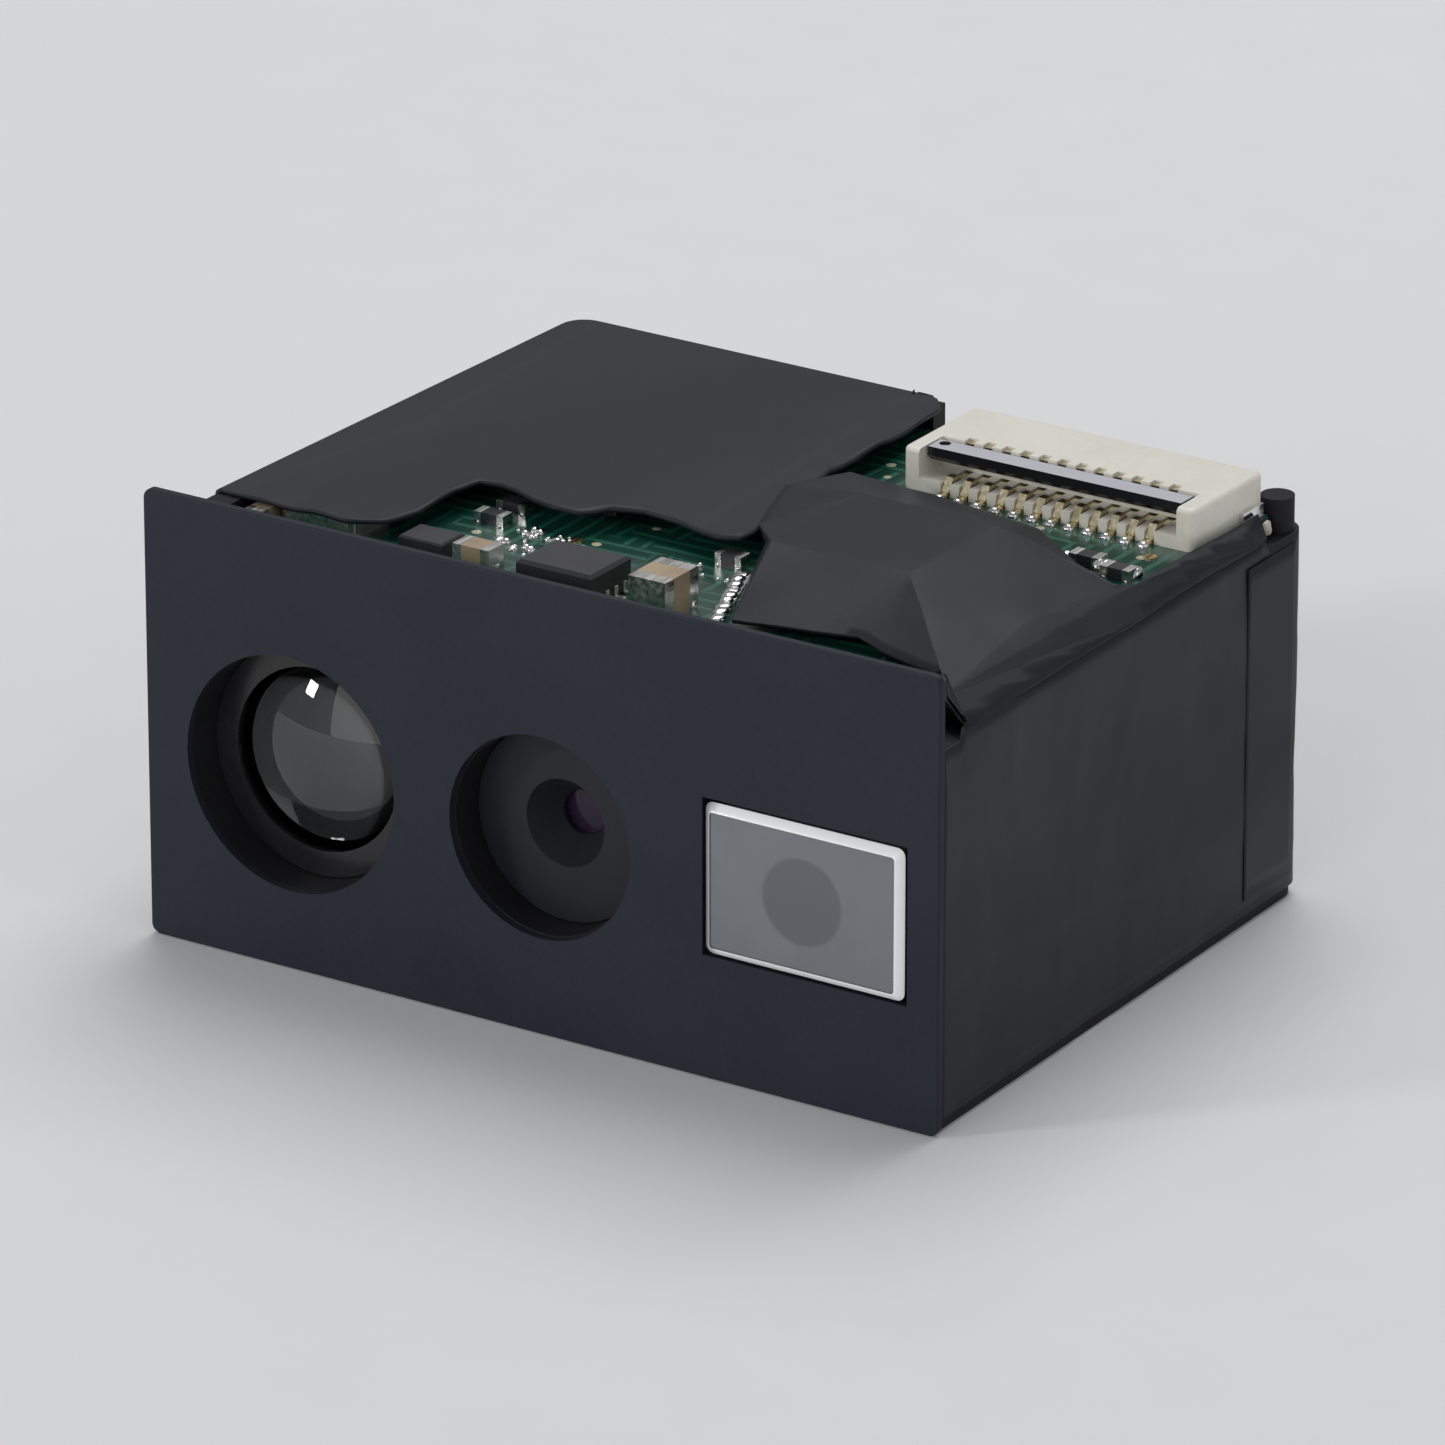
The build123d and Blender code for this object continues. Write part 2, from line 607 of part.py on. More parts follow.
def make_regulator():
    body = on_board(*REGULATOR)
    return chamfer(body.faces().sort_by(Axis.Z)[-1].edges(), IC_BEVEL / 2)


def make_oscillator():
    body = on_board(*OSCILLATOR)
    return fillet(body.edges().filter_by(Axis.Z), OSCILLATOR_CORNER)


def make_memory():
    return on_board(*MEMORY)


def make_processor():
    """The processor hangs under the board, clear of the link pins."""
    x, depth, width, length, height = PROCESSOR
    return block(x - width / 2, x + width / 2, depth - length / 2, depth + length / 2,
                 BOARD_BOTTOM - height, BOARD_BOTTOM)


def make_inductor():
    body = on_board(*INDUCTOR)
    return chamfer(body.edges().filter_by(Axis.Z), INDUCTOR_CORNER)


def make_solder_strip():
    """Tinned ground strip that runs back beside the coil."""
    outline = [(x, FRONT_Y + depth) for x, depth in SOLDER_STRIP]
    sheet = Pos(0, 0, BOARD_TOP) * make_face(Polyline(*outline, close=True))
    return extrude(sheet, SOLDER_STRIP_T)


def make_test_pads():
    top = BOARD_TOP + TEST_PAD_T
    return [post(x, depth, TEST_PAD_R, BOARD_TOP, top) for x, depth in TEST_PADS]


def make_adhesive():
    """Glue that ties the board's edge to the chassis in front of each rear post."""
    rear = rear_posts()[0][1] - POST_R - BOARD_CLEARANCE
    front = rear - DAB_L
    edge = BOARD_HALF_W
    return [
        block(-edge - BOARD_CLEARANCE, -edge, front, rear, LEDGE_TOP, BOARD_TOP),
        block(edge, edge + DAB_W, front, rear, LIP_TOP, BOARD_TOP + DAB_RISE),
    ]


# ---- Cable connector -------------------------------------------------------------------------------

def conn_block(x0, x1, c0, c1, h0, h1):
    """A box on the board, with depths behind the connector's front and heights over the board."""
    return block(x0, x1, CONNECTOR_D + c0, CONNECTOR_D + c1, BOARD_TOP + h0, BOARD_TOP + h1)


def contact_columns():
    start = CONNECTOR_X - (CONTACTS - 1) * PITCH / 2
    return [start + i * PITCH for i in range(CONTACTS)]


def housing_ends():
    return CONNECTOR_X - HOUSING_LENGTH / 2, CONNECTOR_X + HOUSING_LENGTH / 2


def lock_ends():
    left, right = housing_ends()
    return left + EAR_T + LOCK_GAP, right - EAR_T - LOCK_GAP


def across(x0, x1, c, h, radius):
    """A cylinder along X at a place in the connector."""
    centre = ((x0 + x1) / 2, FRONT_Y + CONNECTOR_D + c, BOARD_TOP + h)
    return Pos(*centre) * Rot(0, 90, 0) * Cylinder(radius, x1 - x0)


def make_connector_housing():
    left, right = housing_ends()
    body = conn_block(left, right, 0, CONNECTOR_DEPTH, 0, CONNECTOR_H)
    body = fillet(body.edges().filter_by(Axis.Z), HOUSING_CORNER_R)
    top_back = body.faces().sort_by(Axis.Z)[-1].edges().sort_by(Axis.Y)[-1]
    body = fillet(top_back, HOUSING_EDGE_R)
    bay_left = left + EAR_T
    bay_right = right - EAR_T
    body -= conn_block(bay_left, bay_right, 0, COVER_FRONT, BASE_T, CONNECTOR_H)
    half_slot = CABLE_SLOT_W / 2
    body -= conn_block(CONNECTOR_X - half_slot, CONNECTOR_X + half_slot, CABLE_STOP, CONNECTOR_DEPTH,
                       BASE_T, COVER_UNDERSIDE)
    half = CONTACT_T / 2 + CONTACT_GAP
    floor = LEG_Z - CONTACT_GAP
    arm_low = ARM_Z - CONTACT_GAP
    arm_high = ARM_Z + ARM_T + CONTACT_GAP
    for x in contact_columns():
        low, high = x - half, x + half
        body -= conn_block(low, high, 0, JAW_BACK + CONTACT_GAP, 0, BASE_T)
        body -= conn_block(low, high, 0, LEG_BACK + CONTACT_GAP, floor, BASE_T)
        body -= conn_block(low, high, SPINE_FRONT - CONTACT_GAP, SPINE_BACK + CONTACT_GAP, floor, arm_high)
        body -= conn_block(low, high, COVER_FRONT, ARM_BACK + CONTACT_GAP, arm_low, arm_high)
        body -= conn_block(low, high, COVER_FRONT, HOOK_BACK + CONTACT_GAP, arm_low, CONNECTOR_H)
    bore_r = TRUNNION_R + TRUNNION_GAP
    bore_l = TRUNNION_L + LOCK_GAP + TRUNNION_GAP
    body -= across(bay_left - bore_l, bay_left, LOCK_PIVOT, LOCK_Z, bore_r)
    body -= across(bay_right, bay_right + bore_l, LOCK_PIVOT, LOCK_Z, bore_r)
    return body


def contact_outline():
    """Side view of one contact: foot, leg, spine, upper arm, hook and front jaw."""
    leg_top = LEG_Z + CONTACT_WIDTH
    return [
        (-FOOT_REACH, 0), (LEG_Z, 0), (LEG_Z, LEG_Z), (LEG_BACK, LEG_Z), (LEG_BACK, leg_top),
        (SPINE_BACK, leg_top), (SPINE_BACK, ARM_Z), (ARM_BACK, ARM_Z), (ARM_BACK, ARM_Z + ARM_T),
        (HOOK_BACK, ARM_Z + ARM_T), (HOOK_BACK, HOOK_TOP), (HOOK_FRONT, HOOK_TOP),
        (HOOK_FRONT, ARM_Z + ARM_T), (SPINE_FRONT, ARM_Z), (SPINE_FRONT, leg_top),
        (JAW_BACK, leg_top), (JAW_BACK - ARM_T, JAW_TOP), (JAW_FRONT, JAW_TOP),
        (0, ARM_T), (-FOOT_REACH, ARM_T),
    ]


def make_contacts():
    outline = Plane.YZ * make_face(Polyline(*contact_outline(), close=True))
    blade = extrude(outline, CONTACT_T)
    base = (FRONT_Y + CONNECTOR_D, BOARD_TOP)
    return [Pos(x - CONTACT_T / 2, *base) * blade for x in contact_columns()]


def make_contact_solder():
    joints = []
    for x in contact_columns():
        bead = Pos(x, FRONT_Y + CONNECTOR_D - FOOT_REACH - SOLDER_R, BOARD_TOP) * Sphere(SOLDER_R)
        above = conn_block(x - PITCH, x + PITCH, -CONNECTOR_DEPTH, 0, 0, CONNECTOR_H)
        joints.append(bead & above)
    return joints


def make_lock():
    left, right = lock_ends()
    top = LOCK_Z + LOCK_R
    flap = conn_block(left, right, LOCK_PIVOT - LOCK_REACH, LOCK_PIVOT, LOCK_Z - LOCK_R, top)
    front_low = flap.edges().filter_by(Axis.X).group_by(Axis.Y)[0].sort_by(Axis.Z)[0]
    flap = chamfer(front_low, LOCK_BEVEL)
    lock = flap + across(left, right, LOCK_PIVOT, LOCK_Z, LOCK_R)
    reach = TRUNNION_L + LOCK_GAP
    lock += across(left - reach, left, LOCK_PIVOT, LOCK_Z, TRUNNION_R)
    lock += across(right, right + reach, LOCK_PIVOT, LOCK_Z, TRUNNION_R)
    dimple = Pos(left + DIMPLE_INSET, FRONT_Y + CONNECTOR_D + LOCK_PIVOT - DIMPLE_R, BOARD_TOP + top)
    return lock - dimple * Cylinder(DIMPLE_R, LOCK_R)


def make_anchor_tabs():
    left, right = housing_ends()
    rear = CONNECTOR_DEPTH - HOUSING_CORNER_R
    return [
        conn_block(left - TAB_T, left, rear - TAB_LENGTH, rear, 0, TAB_H),
        conn_block(right, right + TAB_T, rear - TAB_LENGTH, rear, 0, TAB_H),
    ]


# ---- Light-shield tapes ----------------------------------------------------------------------------
TAPE_TOP = TALL_WALL_TOP + TAPE_T
TAPE_RIGHT_X = TALL_WALL_END_X + 0.4    # right edge of the flat tape
TAPE_FRONT_D = 2.6        # straight front edge near the left corner
TAPE_BACK_END_X = TALL_WALL_END_X - 0.7  # right end of the part that hangs down the back wall
TOP_TAPE_HEM = 0.5        # lower edge of the flat tape's left and back flaps
SIDE_TAPE_HEM = 0.3       # lower edge of the right-hand tape
SIDE_TAPE_SLIT = 0.15     # gap between the plate and the right-hand tape
SIDE_TAPE_WRAP = 3.0      # how far the right-hand tape goes round the rear corner
FOLD_Z = BOARD_TOP - 0.24  # where the right-hand tape bends from the wall to the board


def wrapped_skin(z0, z1):
    """One layer of tape all round the chassis walls, between two heights."""
    return drafted(TAPE_T, z0, z1) - drafted(0, z0, z1)


def make_top_tape():
    outline = [(-PLATE_W, TAPE_FRONT_D), (-6.3, TAPE_FRONT_D + 0.1), (-5.9, 6.2), (0.5, 6.4),
               (TAPE_RIGHT_X, 12.5), (TAPE_RIGHT_X, 16.4), (TAPE_BACK_END_X, MODULE_D),
               (-PLATE_W, MODULE_D)]
    sheet = Pos(0, FRONT_Y, TALL_WALL_TOP) * make_face(Polyline(*outline, close=True))
    tape = extrude(sheet, TAPE_T) & drafted(TAPE_T, TALL_WALL_TOP, TAPE_TOP)
    walls = block(-PLATE_W, TAPE_BACK_END_X, TAPE_FRONT_D, MODULE_D, TOP_TAPE_HEM, TALL_WALL_TOP)
    return tape + (wrapped_skin(TOP_TAPE_HEM, TALL_WALL_TOP) & walls)


# corners of the tented tape: x, depth, height of its upper face over the board
TENT = {
    "coil_front_right": (6.5, 5.5, 1.2),
    "coil_rear_right": (6.5, 9.15, 1.2),
    "coil_front_left": (2.8, 5.45, 1.2),
    "coil_rear_left": (2.8, 9.15, 1.2),
    "front_left": (3.3, 2.9, 0.32),
    "front_middle": (6.3, 3.1, 0.48),
    "front_right": (8.9, 2.6, 0.5),
    "right_middle": (9.0, 6.3, 0.5),
    "right_rear": (9.4, 9.2, 0.35),
    "rear_middle": (6.1, 11.3, 0.32),
    "rear_left": (0.45, 11.7, 0.73),
    "left_middle": (0.45, 8.5, 0.73),
    "left_front": (1.7, 6.9, 0.7),
}
TENT_PANELS = [
    ("coil_front_left", "coil_front_right", "coil_rear_right"),
    ("coil_front_left", "coil_rear_right", "coil_rear_left"),
    ("front_left", "coil_front_right", "coil_front_left"),
    ("front_left", "front_middle", "coil_front_right"),
    ("front_middle", "front_right", "coil_front_right"),
    ("front_right", "right_middle", "coil_front_right"),
    ("right_middle", "coil_rear_right", "coil_front_right"),
    ("right_middle", "right_rear", "coil_rear_right"),
    ("right_rear", "rear_middle", "coil_rear_right"),
    ("rear_middle", "rear_left", "coil_rear_left"),
    ("rear_middle", "coil_rear_left", "coil_rear_right"),
    ("rear_left", "left_middle", "coil_rear_left"),
    ("left_middle", "left_front", "coil_rear_left"),
    ("left_front", "coil_front_left", "coil_rear_left"),
    ("left_front", "front_left", "coil_front_left"),
]
BAND_FRONT_D = 1.3
BAND_EDGE_LEAD = 0.3      # the board-side edge runs this much further back than the fold
STRIP_LAP = 0.05          # the upright strip stops this far under the fold
BAND_MIDDLE_D = 9.2
BAND_REAR_D = 14.9
# the strip between the fold over the wall and the board's edge
BAND_PANELS = [
    ("front_right", "fold_front", "edge_front"),
    ("front_right", "edge_front", "right_middle"),
    ("edge_front", "edge_middle", "right_middle"),
    ("right_middle", "edge_middle", "right_rear"),
    ("edge_front", "fold_front", "fold_middle"),
    ("edge_front", "fold_middle", "edge_middle"),
    ("edge_middle", "fold_middle", "fold_rear"),
    ("edge_middle", "fold_rear", "edge_rear"),
]


def band_points():
    """Places along the fold and along the board's right-hand edge."""
    points = {}
    stations = {"front": BAND_FRONT_D, "middle": BAND_MIDDLE_D, "rear": BAND_REAR_D}
    edge_x = BOARD_HALF_W + BOARD_CLEARANCE / 2
    for name, depth in stations.items():
        points["fold_" + name] = (half_width(depth) + TAPE_T, depth, FOLD_Z)
        points["edge_" + name] = (edge_x, depth + BAND_EDGE_LEAD, BOARD_TOP + 2 * TAPE_T)
    return points


def make_side_tape():
    points = {name: (x, depth, BOARD_TOP + rise) for name, (x, depth, rise) in TENT.items()}
    points.update(band_points())
    tent = film(points, TENT_PANELS + BAND_PANELS, TAPE_T)
    wall_start = PLATE_T + SIDE_TAPE_SLIT
    skin = wrapped_skin(SIDE_TAPE_HEM, LIP_TOP)
    skin &= block(BODY_REAR_HALF - SIDE_TAPE_WRAP, PLATE_W, wall_start, MODULE_D, 0, LIP_TOP)
    strip = wrapped_skin(LIP_TOP, FOLD_Z - STRIP_LAP)
    strip &= block(BODY_REAR_HALF - BODY_CORNER_R, PLATE_W, BAND_FRONT_D, BAND_REAR_D, LIP_TOP, FOLD_Z)
    return tent + skin + strip


# ---- Every piece, by the name of its node ------------------------------------------------------------
def build():
    first_element, second_element = make_elements()
    capacitor_bodies, capacitor_caps = make_chips(CAPACITORS)
    resistor_bodies, resistor_caps = make_chips(RESISTORS)
    return {
        "front_plate": make_front_plate(),
        "chassis": make_chassis(),
        "condenser_lens": make_condenser_lens(),
        "lens_retaining_ring": make_retaining_ring(),
        "lens_barrel": make_barrel(),
        "front_lens_element": first_element,
        "lens_spacer_ring": make_spacer(),
        "rear_lens_element": second_element,
        "bandpass_filter": make_filter(),
        "window_block": make_window(),
        "illumination_led": make_illumination_led(),
        "led_phosphor": make_phosphor(),
        "illumination_board": make_illumination_board(),
        "illumination_pins": make_illumination_pins(),
        "aiming_led": make_aiming_led(),
        "aiming_led_dome": make_aiming_dome(),
        "image_sensor": make_sensor(),
        "sensor_cover_glass": make_sensor_glass(),
        "sensor_gasket": make_gasket(),
        "optics_board": make_optics_board(),
        "optics_board_screws": make_board_screws(),
        "link_header": make_link_body(),
        "link_pins": make_link_pins(),
        "main_board": make_main_board(),
        "processor_ic": make_processor(),
        "memory_ic": make_memory(),
        "driver_ic": make_driver_ic(),
        "regulator_ic": make_regulator(),
        "oscillator_can": make_oscillator(),
        "power_inductor": make_inductor(),
        "capacitor_bodies": capacitor_bodies,
        "capacitor_end_caps": capacitor_caps,
        "resistor_bodies": resistor_bodies,
        "resistor_end_caps": resistor_caps,
        "solder_strip": make_solder_strip(),
        "test_pads": make_test_pads(),
        "adhesive_dabs": make_adhesive(),
        "connector_housing": make_connector_housing(),
        "connector_contacts": make_contacts(),
        "contact_solder_joints": make_contact_solder(),
        "connector_anchor_tabs": make_anchor_tabs(),
        "connector_lock": make_lock(),
        "top_tape": make_top_tape(),
        "side_tape": make_side_tape(),
    }


os.makedirs("parts", exist_ok=True)
for node, shape in build().items():
    if isinstance(shape, list):
        shape = Compound(children=shape)
    export_step(shape, f"parts/{node}.step")
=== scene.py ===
import math
import random

import bmesh
import bpy
from mathutils import Matrix, Vector, noise


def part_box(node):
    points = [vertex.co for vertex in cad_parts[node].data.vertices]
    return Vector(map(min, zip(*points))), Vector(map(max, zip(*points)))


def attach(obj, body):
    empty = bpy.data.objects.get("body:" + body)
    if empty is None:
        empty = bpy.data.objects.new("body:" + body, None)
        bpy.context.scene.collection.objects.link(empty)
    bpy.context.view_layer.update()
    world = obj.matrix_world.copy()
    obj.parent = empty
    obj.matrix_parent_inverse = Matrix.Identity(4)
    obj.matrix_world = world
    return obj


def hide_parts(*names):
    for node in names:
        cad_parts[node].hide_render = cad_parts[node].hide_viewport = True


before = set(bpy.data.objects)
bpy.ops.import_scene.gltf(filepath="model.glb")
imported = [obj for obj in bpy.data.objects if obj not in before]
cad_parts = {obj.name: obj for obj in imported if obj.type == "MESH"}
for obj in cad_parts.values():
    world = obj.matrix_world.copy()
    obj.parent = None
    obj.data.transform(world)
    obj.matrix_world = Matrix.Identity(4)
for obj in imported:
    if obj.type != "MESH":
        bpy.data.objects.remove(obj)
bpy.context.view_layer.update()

MM = 0.001
FACE_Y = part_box("front_plate")[0][1]        # y of the face sheet's front
BODY = "module"

# ---- Sizes shared by the tapes, in millimetres ---------------------------------------------------
WALL_START = 0.2          # depth at which the chassis walls begin
WALL_END = 16.9           # depth of the back of the wrapped tape
HALF_NEAR = 10.65         # half width over the tape at the front
HALF_FAR = 10.2           # half width over the tape at the back
CORNER_R = 0.7            # rounding of the rear corners
FLAT_TOP = 10.2           # upper face of the flat tape
TAPE_T = 0.1
EDGE_ROLL = 0.14          # rounding where a tape turns down over a wall


def at(x, depth, z):
    """A point from x, depth behind the face sheet and height, all in millimetres."""
    return Vector((x * MM, FACE_Y + depth * MM, z * MM))


# ---- Node groups ---------------------------------------------------------------------------------
def put(tree, kind, inputs=None, **settings):
    """Adds a node; each input is a plain value or another node's socket."""
    made = tree.nodes.new(kind)
    for key, value in settings.items():
        setattr(made, key, value)
    for key, value in (inputs or {}).items():
        if isinstance(value, bpy.types.NodeSocket):
            tree.links.new(value, made.inputs[key])
        else:
            made.inputs[key].default_value = value
    return made


def new_group(name, inputs, outputs):
    tree = bpy.data.node_groups.new(name, "ShaderNodeTree")
    for label, value in inputs.items():
        kind = "NodeSocketFloat" if isinstance(value, float) else "NodeSocketColor"
        tree.interface.new_socket(label, in_out="INPUT", socket_type=kind).default_value = value
    for label, kind in outputs.items():
        tree.interface.new_socket(label, in_out="OUTPUT", socket_type=kind)
    return tree, tree.nodes.new("NodeGroupInput").outputs, tree.nodes.new("NodeGroupOutput").inputs


SURFACE = {"Colour": "NodeSocketColor", "Roughness": "NodeSocketFloat", "Height": "NodeSocketFloat"}
GREY = (0.5, 0.5, 0.5, 1.0)


def maths(tree, operation, a, b=0.0):
    return put(tree, "ShaderNodeMath", {0: a, 1: b}, operation=operation).outputs[0]


def spread(tree, value, low, high, to_low, to_high):
    return put(tree, "ShaderNodeMapRange", {"Value": value, "From Min": low, "From Max": high,
                                            "To Min": to_low, "To Max": to_high}).outputs["Result"]


def blend(tree, factor, a, b, mode="MIX"):
    made = put(tree, "ShaderNodeMix", data_type="RGBA", blend_type=mode)
    for index, value in ((0, factor), (6, a), (7, b)):
        if isinstance(value, bpy.types.NodeSocket):
            tree.links.new(value, made.inputs[index])
        else:
            made.inputs[index].default_value = value
    return made.outputs[2]


def speckle(tree, where, scale, detail=4.0):
    return put(tree, "ShaderNodeTexNoise", {"Vector": where, "Scale": scale, "Detail": detail}).outputs[0]


def moulded_grain():
    """Patchy colour and roughness over a fine moulded or painted grain."""
    tree, given, result = new_group("Moulded grain", {
        "Colour": GREY, "Second Colour": GREY, "Patches": 300.0, "Grain": 9000.0,
        "Low Roughness": 0.4, "High Roughness": 0.6}, SURFACE)
    where = put(tree, "ShaderNodeTexCoord").outputs["Object"]
    patches = speckle(tree, where, given["Patches"])
    grain = speckle(tree, where, given["Grain"], 2.0)
    shade = maths(tree, "ADD", maths(tree, "MULTIPLY", patches, 0.7), maths(tree, "MULTIPLY", grain, 0.3))
    share = spread(tree, shade, 0.35, 0.65, 0.0, 1.0)
    tree.links.new(blend(tree, share, given["Colour"], given["Second Colour"]), result["Colour"])
    tree.links.new(spread(tree, patches, 0.3, 0.7, given["Low Roughness"], given["High Roughness"]),
                   result["Roughness"])
    tree.links.new(grain, result["Height"])
    return tree


def film_creases():
    """Film tape: a painted soft cloudy sheen, lighter along long faint creases within it."""
    tree, given, result = new_group("Film creases", {
        "Colour": GREY, "Rubbed Colour": GREY, "Cloud": 180.0, "Crease": 240.0,
        "Low Roughness": 0.35, "High Roughness": 0.6}, SURFACE)
    where = put(tree, "ShaderNodeTexCoord").outputs["Object"]
    slanted = put(tree, "ShaderNodeMapping", {"Vector": where, "Rotation": (0.2, 0.35, 0.6),
                                              "Scale": (1.0, 0.25, 0.8)}).outputs[0]
    cloud = speckle(tree, slanted, given["Cloud"], 3.0)
    grain = speckle(tree, where, 7000.0, 2.0)
    cells = put(tree, "ShaderNodeTexVoronoi", {"Vector": slanted, "Scale": given["Crease"]},
                feature="DISTANCE_TO_EDGE").outputs["Distance"]
    crease = spread(tree, cells, 0.0, 0.05, 1.0, 0.0)
    lighter_creases = maths(tree, "MULTIPLY", crease, spread(tree, cloud, 0.4, 0.7, 0.0, 0.5))
    # painted sheen: clouds of the lighter colour over the film's own colour, with lighter crease lines inside
    # them
    painted_sheen = blend(tree, spread(tree, cloud, 0.35, 0.7, 0.0, 0.55), given["Colour"], given["Rubbed Colour"])
    tree.links.new(blend(tree, lighter_creases, painted_sheen, given["Rubbed Colour"]), result["Colour"])
    tree.links.new(spread(tree, cloud, 0.3, 0.7, given["Low Roughness"], given["High Roughness"]),
                   result["Roughness"])
    height = maths(tree, "ADD", maths(tree, "MULTIPLY", grain, 0.25),
                   maths(tree, "ADD", cloud, maths(tree, "MULTIPLY", lighter_creases, 0.3)))
    tree.links.new(height, result["Height"])
    return tree


def board_mask():
    """Solder mask over copper: pale lines of copper, plated vias and a gloss that varies."""
    tree, given, result = new_group("Board mask", {
        "Colour": GREY, "Copper Colour": GREY, "Via Colour": GREY, "Lines": 700.0, "Vias": 1100.0}, SURFACE)
    where = put(tree, "ShaderNodeTexCoord").outputs["Object"]
    lines = None
    for direction in ("X", "Y"):
        wave = put(tree, "ShaderNodeTexWave", {"Vector": where, "Scale": given["Lines"], "Distortion": 1.2,
                                               "Detail": 0.0}, bands_direction=direction).outputs["Fac"]
        band = spread(tree, wave, 0.75, 0.82, 0.0, 1.0)
        gate = spread(tree, speckle(tree, where, 420.0, 1.0), 0.5, 0.52, 0.0, 1.0)
        if direction == "Y":
            gate = maths(tree, "SUBTRACT", 1.0, gate)
        part = maths(tree, "MULTIPLY", band, gate)
        lines = part if lines is None else maths(tree, "MAXIMUM", lines, part)
    spots = put(tree, "ShaderNodeTexVoronoi", {"Vector": where, "Scale": given["Vias"]}).outputs["Distance"]
    vias = spread(tree, spots, 0.12, 0.15, 1.0, 0.0)
    masked = blend(tree, lines, given["Colour"], given["Copper Colour"])
    tree.links.new(blend(tree, vias, masked, given["Via Colour"]), result["Colour"])
    tree.links.new(spread(tree, lines, 0.0, 1.0, 0.28, 0.36), result["Roughness"])
    tree.links.new(maths(tree, "MAXIMUM", lines, vias), result["Height"])
    return tree


def metal_haze():
    """Plated or soldered metal: cloudy tarnish and fine directional scuffs."""
    tree, given, result = new_group("Metal haze", {
        "Colour": GREY, "Tarnish Colour": GREY, "Cloud": 1500.0, "Scuffs": 9000.0,
        "Low Roughness": 0.15, "High Roughness": 0.4}, SURFACE)
    where = put(tree, "ShaderNodeTexCoord").outputs["Object"]
    drawn = put(tree, "ShaderNodeMapping", {"Vector": where, "Scale": (1.0, 0.08, 1.0)}).outputs[0]
    cloud = speckle(tree, where, given["Cloud"])
    scuffs = speckle(tree, drawn, given["Scuffs"], 2.0)
    share = spread(tree, cloud, 0.4, 0.7, 0.0, 1.0)
    tree.links.new(blend(tree, share, given["Colour"], given["Tarnish Colour"]), result["Colour"])
    tree.links.new(spread(tree, scuffs, 0.3, 0.7, given["Low Roughness"], given["High Roughness"]),
                   result["Roughness"])
    tree.links.new(maths(tree, "ADD", cloud, maths(tree, "MULTIPLY", scuffs, 0.3)), result["Height"])
    return tree


GRAIN = moulded_grain()
FILM = film_creases()
BOARD = board_mask()
METAL = metal_haze()


def finish(name, group, values, bump=0.2, relief=0.01, **shader):
    """A material: one effect group into a Principled shader. relief is the bump's depth in mm."""
    material = bpy.data.materials.new(name)
    material.use_nodes = True
    tree = material.node_tree
    tree.nodes.clear()
    effect = put(tree, "ShaderNodeGroup", node_tree=group)
    for key, value in values.items():
        effect.inputs[key].default_value = (*value, 1.0) if isinstance(value, tuple) else value
    lumps = put(tree, "ShaderNodeBump", {"Height": effect.outputs["Height"], "Strength": bump,
                                         "Distance": relief * MM})
    surface = put(tree, "ShaderNodeBsdfPrincipled", {
        "Base Color": effect.outputs["Colour"], "Roughness": effect.outputs["Roughness"],
        "Normal": lumps.outputs[0]})
    for key, value in shader.items():
        surface.inputs[key.replace("_", " ")].default_value = value
    out = tree.nodes.new("ShaderNodeOutputMaterial")
    tree.links.new(surface.outputs[0], out.inputs["Surface"])
    return material


def plain(name, colour, second, rough, patches=300.0, grain=9000.0, **rest):
    return finish(name, GRAIN, {"Colour": colour, "Second Colour": second, "Patches": patches, "Grain": grain,
                                "Low Roughness": rough[0], "High Roughness": rough[1]}, **rest)


def metal(name, colour, tarnish, rough, **rest):
    return finish(name, METAL, {"Colour": colour, "Tarnish Colour": tarnish, "Low Roughness": rough[0],
                                "High Roughness": rough[1]}, Metallic=1.0, **rest)


def coloured(name, colour_of, low_roughness, high_roughness, coat=0.0):
    """A material whose colour comes from the place on the piece, with a cloudy roughness."""
    material = bpy.data.materials.new(name)
    material.use_nodes = True
    tree = material.node_tree
    tree.nodes.clear()
    where = put(tree, "ShaderNodeTexCoord").outputs["Object"]
    cloud = speckle(tree, where, 900.0, 3.0)
    surface = put(tree, "ShaderNodeBsdfPrincipled", {
        "Base Color": colour_of(tree, where, cloud),
        "Roughness": spread(tree, cloud, 0.3, 0.7, low_roughness, high_roughness)})
    surface.inputs["Coat Weight"].default_value = coat
    out = tree.nodes.new("ShaderNodeOutputMaterial")
    tree.links.new(surface.outputs[0], out.inputs["Surface"])
    return material


def lock_colour(tree, where, cloud):
    """The lock is black under and in front; its top is painted light grey, a painted reflection of the lamps
    on the glossy black.
    """
    facing = put(tree, "ShaderNodeTexCoord").outputs["Normal"]
    # painted reflection: faces that point up take the light grey, the rest keeps the lock's own black
    up = put(tree, "ShaderNodeSeparateXYZ", {"Vector": facing}).outputs["Z"]
    painted_top_reflection = blend(tree, cloud, (0.62, 0.62, 0.66, 1.0), (0.5, 0.5, 0.55, 1.0))
    return blend(tree, spread(tree, up, 0.4, 0.6, 0.0, 1.0), (0.012, 0.012, 0.014, 1.0), painted_top_reflection)


